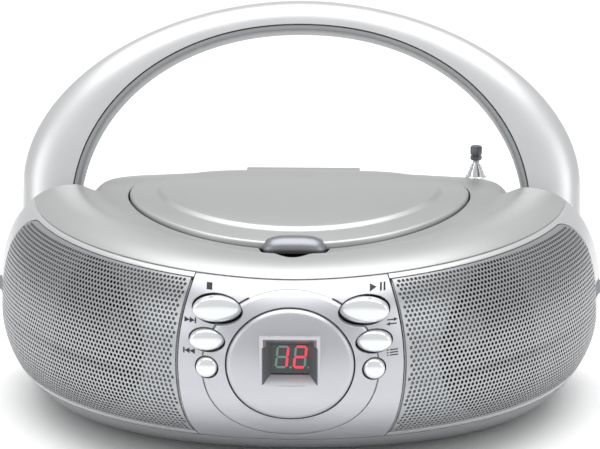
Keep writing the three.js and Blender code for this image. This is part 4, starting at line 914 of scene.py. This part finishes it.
def make_lid():
    """A round plate with a straight rear edge: from the underside's middle out, over a rolled rim, then a
    soft step up to the inner plateau, which is a smaller round with its own straight rear edge."""
    turn = turns(240)

    def edge(radius, rear):
        """The round's radius at each turn, blended into the straight rear edge by a soft minimum."""
        reach = np.where(np.sin(turn) > 0, rear / np.maximum(np.sin(turn), 1e-6), 1e9)
        return -np.log(np.exp(-radius / 1.5) + np.exp(-np.minimum(reach, 500) / 1.5)) * 1.5

    outer, inner = edge(LID_R - 0.3, LID_REAR), edge(PLATEAU_R, PLATEAU_REAR)
    rows = []
    for share in (0.005, 0.4, 0.8):
        rows.append((outer * share, -2.2))
    for past, height in ((-2.4, -2.2), (-2.2, -5.6), (-0.4, -5.6), (0, -5.2), (0, -1.0)):
        rows.append((outer + past, height))
    for t in np.linspace(0.2, np.pi / 2, 6):
        rows.append((outer - 1.0 * (1 - math.cos(t)), -1.0 + 1.0 * math.sin(t)))
    for t in np.linspace(0, 1, 12)[1:]:
        rows.append(((outer - 1.0) * (1 - t) + (inner + 1.6) * t, 0))
    for t in np.linspace(0, 1, 13)[1:]:
        rows.append((inner + 1.6 - 3.2 * t, PLATEAU_RISE * float(smooth(t))))
    for share in (0.9, 0.7, 0.5, 0.3, 0.1, 0.005):
        rows.append(((inner - 1.6) * share, PLATEAU_RISE))
    rings = []
    for radius, height in rows:
        x, y = radius * np.cos(turn), LID_Y + radius * np.sin(turn)
        rings.append(np.stack([x, y, lid_top(x, y) + height], -1))
    lid = loft("lid_plate", rings)
    cut(lid, block("skirt", (-FAR, LID_Y + 20, 0), (FAR, FAR, 80)))
    barrel_r, bore_r = 3.2, 1.3
    barrel = prism("barrel", oval(HINGE_Y, HINGE_Z, barrel_r), -HINGE_HALF, HINGE_HALF, "x")
    bridge = block("bridge", (-HINGE_HALF, LID_Y + 59, HINGE_Z - 0.2),
                   (HINGE_HALF, HINGE_Y, HINGE_Z + barrel_r))
    bore = prism("bore", oval(HINGE_Y, HINGE_Z, bore_r), -FAR, FAR, "x")
    join(lid, barrel, bridge)
    cut(lid, bore)
    # The lid takes the same darker grey copy of the silver paint, painted shade.
    dress(lid, MATERIALS["shaded_silver_paint"], "lid", ["cd_lid"])
    make_lip()


def make_lip():
    """The plated thumb lip on the lid's front edge: half an oval in section, flat below, whose height falls to
    the ends by a superellipse. A black strip covers the lid's edge under it as painted shade."""
    u = np.linspace(-1, 1, 61)
    x = 14.0 * u
    edge = LID_Y - np.sqrt(LID_R ** 2 - x * x)
    level = lid_top(0.0, LID_Y - LID_R)
    size = (1 - np.abs(u) ** 3) ** (1 / 2.2) * 0.97 + 0.03
    turn = np.linspace(0, np.pi, 32)
    rings = np.stack([np.repeat(x[:, None], 32, 1),
                      edge[:, None] + 1.8 + size[:, None] ** 0.5 * 6.3 * np.cos(turn),
                      level - 3.3 + size[:, None] * 6.4 * np.sin(turn) ** 0.85], -1)
    dress(loft("thumb_lip", rings), MATERIALS["lip_plate"], "lid")
    x = np.linspace(-15.4, 15.4, 25)
    edge = LID_Y - np.sqrt(LID_R ** 2 - x * x)
    corners = ((-0.15, -5.2), (0.4, -5.2), (0.4, -2.9), (-0.15, -2.9))
    rings = np.stack([np.stack([x, edge + dy, lid_top(x, edge) + dz], -1) for dy, dz in corners], 1)
    # A black strip where the lip casts its shade: painted shade.
    dress(loft("lip_shade", rings), MATERIALS["black_abs_and_shade"], "lid")


def make_cup():
    """The black cup under the finger hollow: the hollow's outline grown by the wall, less the hollow."""
    edge = LID_Y - LID_R
    cup = within(cut(finger_notch(1.5, edge - 0.1), finger_notch(0, edge - 1.6)), cabinet(WALL + 0.3))
    cup.name = "finger_cup"
    dress(cup, MATERIALS["black_abs_and_shade"], replaces=["finger_well"])


def handle_point(x, s, t):
    """A point of the handle: across, up along the leaning arch, and back through its depth."""
    return np.stack([x, PIVOT_Y + s * math.sin(LEAN) + t * math.cos(LEAN),
                     PIVOT_Z + s * math.cos(LEAN) - t * math.sin(LEAN)], -1)


def handle_stations():
    """Inner and outer points along the arch: round bosses, short legs, then two superellipse arcs."""
    low = BOSS_R * np.sin(np.linspace(-1.45, 0, 14))
    (inner_half, *_, inner_leg), (outer_half, *_, outer_leg) = ARCHES
    leg = np.array([(s, s) for s in low] + [(inner_leg * k, outer_leg * k) for k in (0.2, 0.4, 0.6, 0.8)])
    turn = np.linspace(np.pi, 0, 121)
    arcs = [(h * signed_power(np.cos(turn), 2 / p), start + rise * np.sin(turn).clip(0) ** (2 / p))
            for h, rise, p, start in ARCHES]
    inner, outer = (np.concatenate([np.stack([np.full(len(leg), -wide), leg[:, k]], -1), np.stack(arcs[k], -1),
                                    np.stack([np.full(len(leg), wide), leg[::-1, k]], -1)])
                    for k, wide in enumerate((inner_half, outer_half)))
    along = np.concatenate([leg[:, 0], np.full(len(turn), BOSS_R), leg[::-1, 0]])
    half = np.where(along < 0, np.sqrt(np.maximum(BOSS_R ** 2 - along ** 2, 0.01)),
                    BOSS_R + (HANDLE_DEEP - BOSS_R) * np.clip(along / BOSS_R, 0, 1))
    return inner, outer, half


def handle_bar(name, section):
    """A section of (share of half depth, depth from the inside) pairs carried along the arch."""
    inner, outer, half = handle_stations()
    along = outer - inner
    thickness = np.linalg.norm(along, axis=1)
    t, out = section(half[:, None], thickness[:, None])
    spot = inner[:, None] + along[:, None] * (out / thickness[:, None])[..., None]
    return loft(name, handle_point(spot[..., 0], spot[..., 1], t))


def make_handle():
    """The bow, crowned outside by a power of the cosine, and a flat strip with broken edges inside it."""
    turn = np.linspace(np.pi / 2, -np.pi / 2, 33)

    def crown(half, thickness):
        return half * np.sin(turn), 2.5 + (thickness - 2.5) * np.cos(turn).clip(0) ** 0.75

    def strip(half, thickness):
        edge = np.array([-1, -1, -0.96, 0.96, 1, 1, 0.96, -0.96])
        rise = np.array([1.9, 0.4, 0, 0, 0.4, 1.9, 2.2, 2.2])
        return (np.maximum(half - 0.6, 0.05)) * edge, rise + 0 * thickness

    outline = oval(PIVOT_Y, PIVOT_Z, PIN_HOLE_R)
    shell = cut(handle_bar("handle_bow", crown), prism("hole", outline, -PIN_HALF, PIN_HALF, "x"))
    dress(shell, MATERIALS["silver_paint"], "handle", ["handle_shell"], sharp=50)
    inner = cut(handle_bar("handle_liner", strip), prism("hole", outline, -PIN_HALF, PIN_HALF, "x"))
    # The strip's darker grey is painted shade of the handle's underside.
    dress(inner, MATERIALS["strip_painted_shade"], "handle", ["handle_strip"], sharp=50)


def make_aerial():
    """Turned aerial: the top rod with its milled cap, the plated collar it stands in and two inner tubes."""
    place = (AERIAL_X, AERIAL_Y, 0)
    tip = turned("aerial_rod", [(0, 26), (0.95, 26), (0.95, 97.6), (0, 97.6)], 32, place=place)
    dress(tip, MATERIALS["chrome_plate"], "aerial_third", ["aerial_tip"])
    profile = [(0, 97.3), (2.1, 97.3), (2.7, 97.8), (2.7, 99.3), (2.3, 99.6), (2.3, 100.0), (2.75, 100.3),
               (2.75, 103.7), (2.3, 104.3), (0, 104.3)]
    cap = turned("aerial_cap", profile, 96, 0.03, 16, place)
    dress(cap, MATERIALS["dark_plate"], "aerial_third")
    profile = [(0, 80), (4.0, 80), (4.0, 86.5), (5.0, 86.7), (5.0, 89.3), (4.6, 89.7), (4.2, 89.8), (3.9, 91.2),
               (3.3, 92.6), (3.2, 93.4), (0, 93.4)]
    cone = turned("aerial_collar", profile, 64, place=place)
    cut(cone, turned("bore", [(0, 79), (3.3, 79), (3.3, 91), (2.6, 91.2), (2.6, 99), (0, 99)], 32, place=place))
    dress(cone, MATERIALS["chrome_plate"], "cabinet", ["aerial_bushing"])
    stages = (("lower", 2.0, 22, 95.0, "aerial_first"), ("middle", 1.25, 24, 96.6, "aerial_second"))
    for stage, inner, low, high, body in stages:
        tube = ring_tube(inner, inner + 0.45, low, high, place)
        dress(tube, MATERIALS["chrome_plate"], body, [f"aerial_{stage}"])


def make_wheels():
    """Thumb wheels with milled rims."""
    for name, side in (("volume", -1), ("tuning", 1)):
        low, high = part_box(f"{name}_wheel")
        x, y, z = (low + high) / 2 / MM
        half = (high.z - low.z) / MM / 2
        r = (high.y - low.y) / MM / 2 - 0.1
        profile = [(0, -half), (r - 0.6, -half), (r, 0.6 - half), (r, half - 0.6), (r - 0.6, half), (0, half)]
        wheel = turned(f"{name}_thumbwheel", profile, 180, 0.012, 60, (x, y, z))
        dress(wheel, MATERIALS["base_grey_and_shade"], name, [f"{name}_wheel"])


def make_speakers():
    """Each cone with its rolled surround, and a domed dust cap on an arc."""
    for name, side in (("left", -1), ("right", 1)):
        k = np.linspace(0, 1, 9)
        cone = [(0.01, -6.5)] + [(7.2 + 1.8 * t, -7.5 - 3.0 * t) for t in (0, 1)]
        cone += [(9 + 14 * t, -10.5 + 7.2 * t + 1.2 * math.sin(math.pi * t)) for t in k[1:]]
        cone += [(23 + 1.7 + 1.7 * math.sin(a), -3.0 + 1.8 * math.cos(a)) for a in np.linspace(-1.4, 1.4, 9)]
        cone += [(26.4, -3.6), (23, -4.4), (9, -11.6), (7, -12), (7, -18), (6.2, -18), (6.2, -11), (0.01, -9)]
        dress(speaker_body(f"{name}_cone", cone, side), MATERIALS["pulp_cone"],
              replaces=[f"{name}_speaker_cone"])
        cap = [(0.01, -2.6)] + [(8.6 * math.sin(a), -6.9 + 4.3 * math.cos(a)) for a in np.linspace(0.15, 1.5, 8)]
        cap += [(8.6, -7.3), (0.01, -7.3)]
        # The near-white cap is painted reflection, standing in for a bright aluminised cap.
        dress(speaker_body(f"{name}_dust_cap", cap, side), MATERIALS["cap_painted_reflection"])


def finish_nodes():
    """Materials for the CAD nodes that stay as they are."""
    table = {
        "black_abs_and_shade": ["cd_well", "battery_bay", "ac_inlet", "function_switch", "band_switch", "lid_liner",
                      "disc_clamp", "turntable", "pickup_sled"],
        "gear_acetal": ["sled_gear", "volume_control", "tuning_capacitor"],
        "pressed_steel": ["lid_hinge_pin", "cd_chassis", "spindle_motor", "sled_motor", "handle_pin_left",
                          "handle_pin_right"],
        "dark_iron": ["left_speaker_frame", "right_speaker_frame", "left_speaker_magnet", "right_speaker_magnet",
                      "transformer"],
        "chrome_plate": ["guide_rod_front", "guide_rod_rear", "aerial_tube", "aerial_lower", "aerial_middle"],
        "board_mask": ["button_board", "main_board"],
        "display_face": ["display_module"],
        "foot_rubber": ["foot_front_left", "foot_front_right", "foot_rear_left", "foot_rear_right"],
    }
    for material, names in table.items():
        for name in names:
            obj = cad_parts[name]
            obj.data.materials.clear()
            obj.data.materials.append(MATERIALS[material])


def make_stage():
    """A white paper floor, an even white room, three softboxes and the camera."""
    stage = bpy.context.scene.radio_stage
    corners = [(-4000, -4000, 0), (4000, -4000, 0), (4000, 6000, 0), (-4000, 6000, 0)]
    floor = mesh_object("studio_floor", corners, [(0, 1, 2, 3)])
    material = surface("studio_paper", "#FCFCFC", 0.0, 0.7, grain_mm=3, bump=0.01, mottle=0.005)
    floor.data.materials.append(material)
    world = bpy.data.worlds.new("studio")
    world.use_nodes = True
    background = world.node_tree.nodes["Background"]
    background.inputs["Color"].default_value = (1, 1, 1, 1)
    background.inputs["Strength"].default_value = stage.world_strength
    bpy.context.scene.world = world
    bpy.context.scene.view_settings.view_transform = "Standard"
    lamps = (("overhead_softbox", (0, -0.05, 1.3), (5, 0, 0), 1.8, 1.5, stage.key_power),
             ("left_softbox", (-1.5, -0.9, 0.6), (70, 0, -60), 0.7, 0.9, stage.side_power),
             ("right_softbox", (1.5, -0.9, 0.6), (70, 0, 60), 0.7, 0.9, stage.side_power))
    for name, spot, turn, wide, deep, power in lamps:
        lamp = bpy.data.lights.new(name, "AREA")
        lamp.shape, lamp.size, lamp.size_y, lamp.energy = "RECTANGLE", wide, deep, power
        obj = bpy.data.objects.new(name, lamp)
        obj.location, obj.rotation_euler = spot, [math.radians(a) for a in turn]
        bpy.context.scene.collection.objects.link(obj)
    camera = bpy.data.cameras.new("camera")
    camera.lens, camera.sensor_width, camera.clip_end = stage.lens, 36, 50
    obj = bpy.data.objects.new("camera", camera)
    obj.location = (0.0321, -1.1194, 0.3856)
    obj.rotation_euler = (math.radians(75.02), 0, math.radians(1.6))
    bpy.context.scene.collection.objects.link(obj)
    bpy.context.scene.camera = obj


# ---------- add-on ----------

class RadioLook(bpy.types.PropertyGroup):
    """Colours and sizes of the visible finish."""
    silver: FloatVectorProperty(name="Silver paint", description="Colour of the silver paint", subtype="COLOR",
                                size=3, min=0, max=1, default=(0.81, 0.815, 0.82))
    # The grey top's colour is painted shade: a darker copy of the silver paint.
    deck: FloatVectorProperty(name="Deck paint", description="Colour of the grey top", subtype="COLOR", size=3,
                              min=0, max=1, default=(0.72, 0.73, 0.725))
    hole_pitch: FloatProperty(name="Hole pitch", description="Distance between grille holes, mm",
                              default=2.2, min=1.6)
    hole_radius: FloatProperty(name="Hole radius", description="Radius of a grille hole, mm",
                               default=0.8, min=0.3)


class RadioStage(bpy.types.PropertyGroup):
    """Studio light and camera."""
    world_strength: FloatProperty(name="Room light", description="Strength of the even white room light",
                                  default=0.75, min=0)
    key_power: FloatProperty(name="Overhead power", description="Power of the overhead softbox, W",
                             default=20, min=0)
    side_power: FloatProperty(name="Side power", description="Power of each side softbox, W",
                              default=3, min=0)
    lens: FloatProperty(name="Lens", description="Focal length of the camera",
                        default=153.1, min=10, unit="CAMERA")


class RADIO_OT_stage(bpy.types.Operator):
    """Floor, lights and camera"""
    bl_idname = "radio.stage"
    bl_label = "Studio"

    def execute(self, context):
        make_stage()
        return {"FINISHED"}


class RADIO_OT_finishes(bpy.types.Operator):
    """All materials, and those of the frame's own nodes"""
    bl_idname = "radio.finishes"
    bl_label = "Finishes"

    def execute(self, context):
        make_materials()
        finish_nodes()
        return {"FINISHED"}


class RADIO_OT_housings(bpy.types.Operator):
    """Top, front, rear and base shells and the battery cover"""
    bl_idname = "radio.housings"
    bl_label = "Housings"

    def execute(self, context):
        make_top()
        make_front()
        make_rear()
        make_base()
        return {"FINISHED"}


class RADIO_OT_grilles(bpy.types.Operator):
    """Perforated sheets over the speakers, with the cloth behind them"""
    bl_idname = "radio.grilles"
    bl_label = "Grilles"

    def execute(self, context):
        make_grilles()
        return {"FINISHED"}


class RADIO_OT_console(bpy.types.Operator):
    """Button panel, dial, display, buttons and printed marks"""
    bl_idname = "radio.console"
    bl_label = "Console"

    def execute(self, context):
        make_console()
        make_dial()
        make_display()
        make_buttons()
        make_marks()
        return {"FINISHED"}


class RADIO_OT_lid(bpy.types.Operator):
    """Disc lid and its thumb lip"""
    bl_idname = "radio.lid"
    bl_label = "Lid"

    def execute(self, context):
        make_lid()
        return {"FINISHED"}


class RADIO_OT_handle(bpy.types.Operator):
    """Handle bow and its inner strip"""
    bl_idname = "radio.handle"
    bl_label = "Handle"

    def execute(self, context):
        make_handle()
        return {"FINISHED"}


class RADIO_OT_fittings(bpy.types.Operator):
    """Aerial, thumb wheels and speakers"""
    bl_idname = "radio.fittings"
    bl_label = "Fittings"

    def execute(self, context):
        make_aerial()
        make_wheels()
        make_speakers()
        return {"FINISHED"}


OPERATORS = [RADIO_OT_stage, RADIO_OT_finishes, RADIO_OT_housings, RADIO_OT_grilles, RADIO_OT_console,
             RADIO_OT_lid, RADIO_OT_handle, RADIO_OT_fittings]


class RADIO_PT_panel(bpy.types.Panel):
    """Lists the making steps and their settings"""
    bl_label = "Portable CD Radio"
    bl_idname = "RADIO_PT_panel"
    bl_space_type = "VIEW_3D"
    bl_region_type = "UI"
    bl_category = "Radio"

    def draw(self, context):
        for group in (context.scene.radio_look, context.scene.radio_stage):
            for key in group.__annotations__:
                self.layout.prop(group, key)
        for item in OPERATORS:
            self.layout.operator(item.bl_idname)


CLASSES = [RadioLook, RadioStage, *OPERATORS, RADIO_PT_panel]


def register():
    """Registers the classes and hangs the settings on the scene."""
    for item in CLASSES:
        bpy.utils.register_class(item)
    bpy.types.Scene.radio_look = PointerProperty(type=RadioLook)
    bpy.types.Scene.radio_stage = PointerProperty(type=RadioStage)


def unregister():
    """Takes the settings and the classes away again."""
    del bpy.types.Scene.radio_look, bpy.types.Scene.radio_stage
    for item in reversed(CLASSES):
        bpy.utils.unregister_class(item)


def main():
    """Makes everything in order."""
    register()
    for item in OPERATORS:
        getattr(bpy.ops.radio, item.bl_idname.split(".")[1])()


if __name__ == "__main__":
    main()
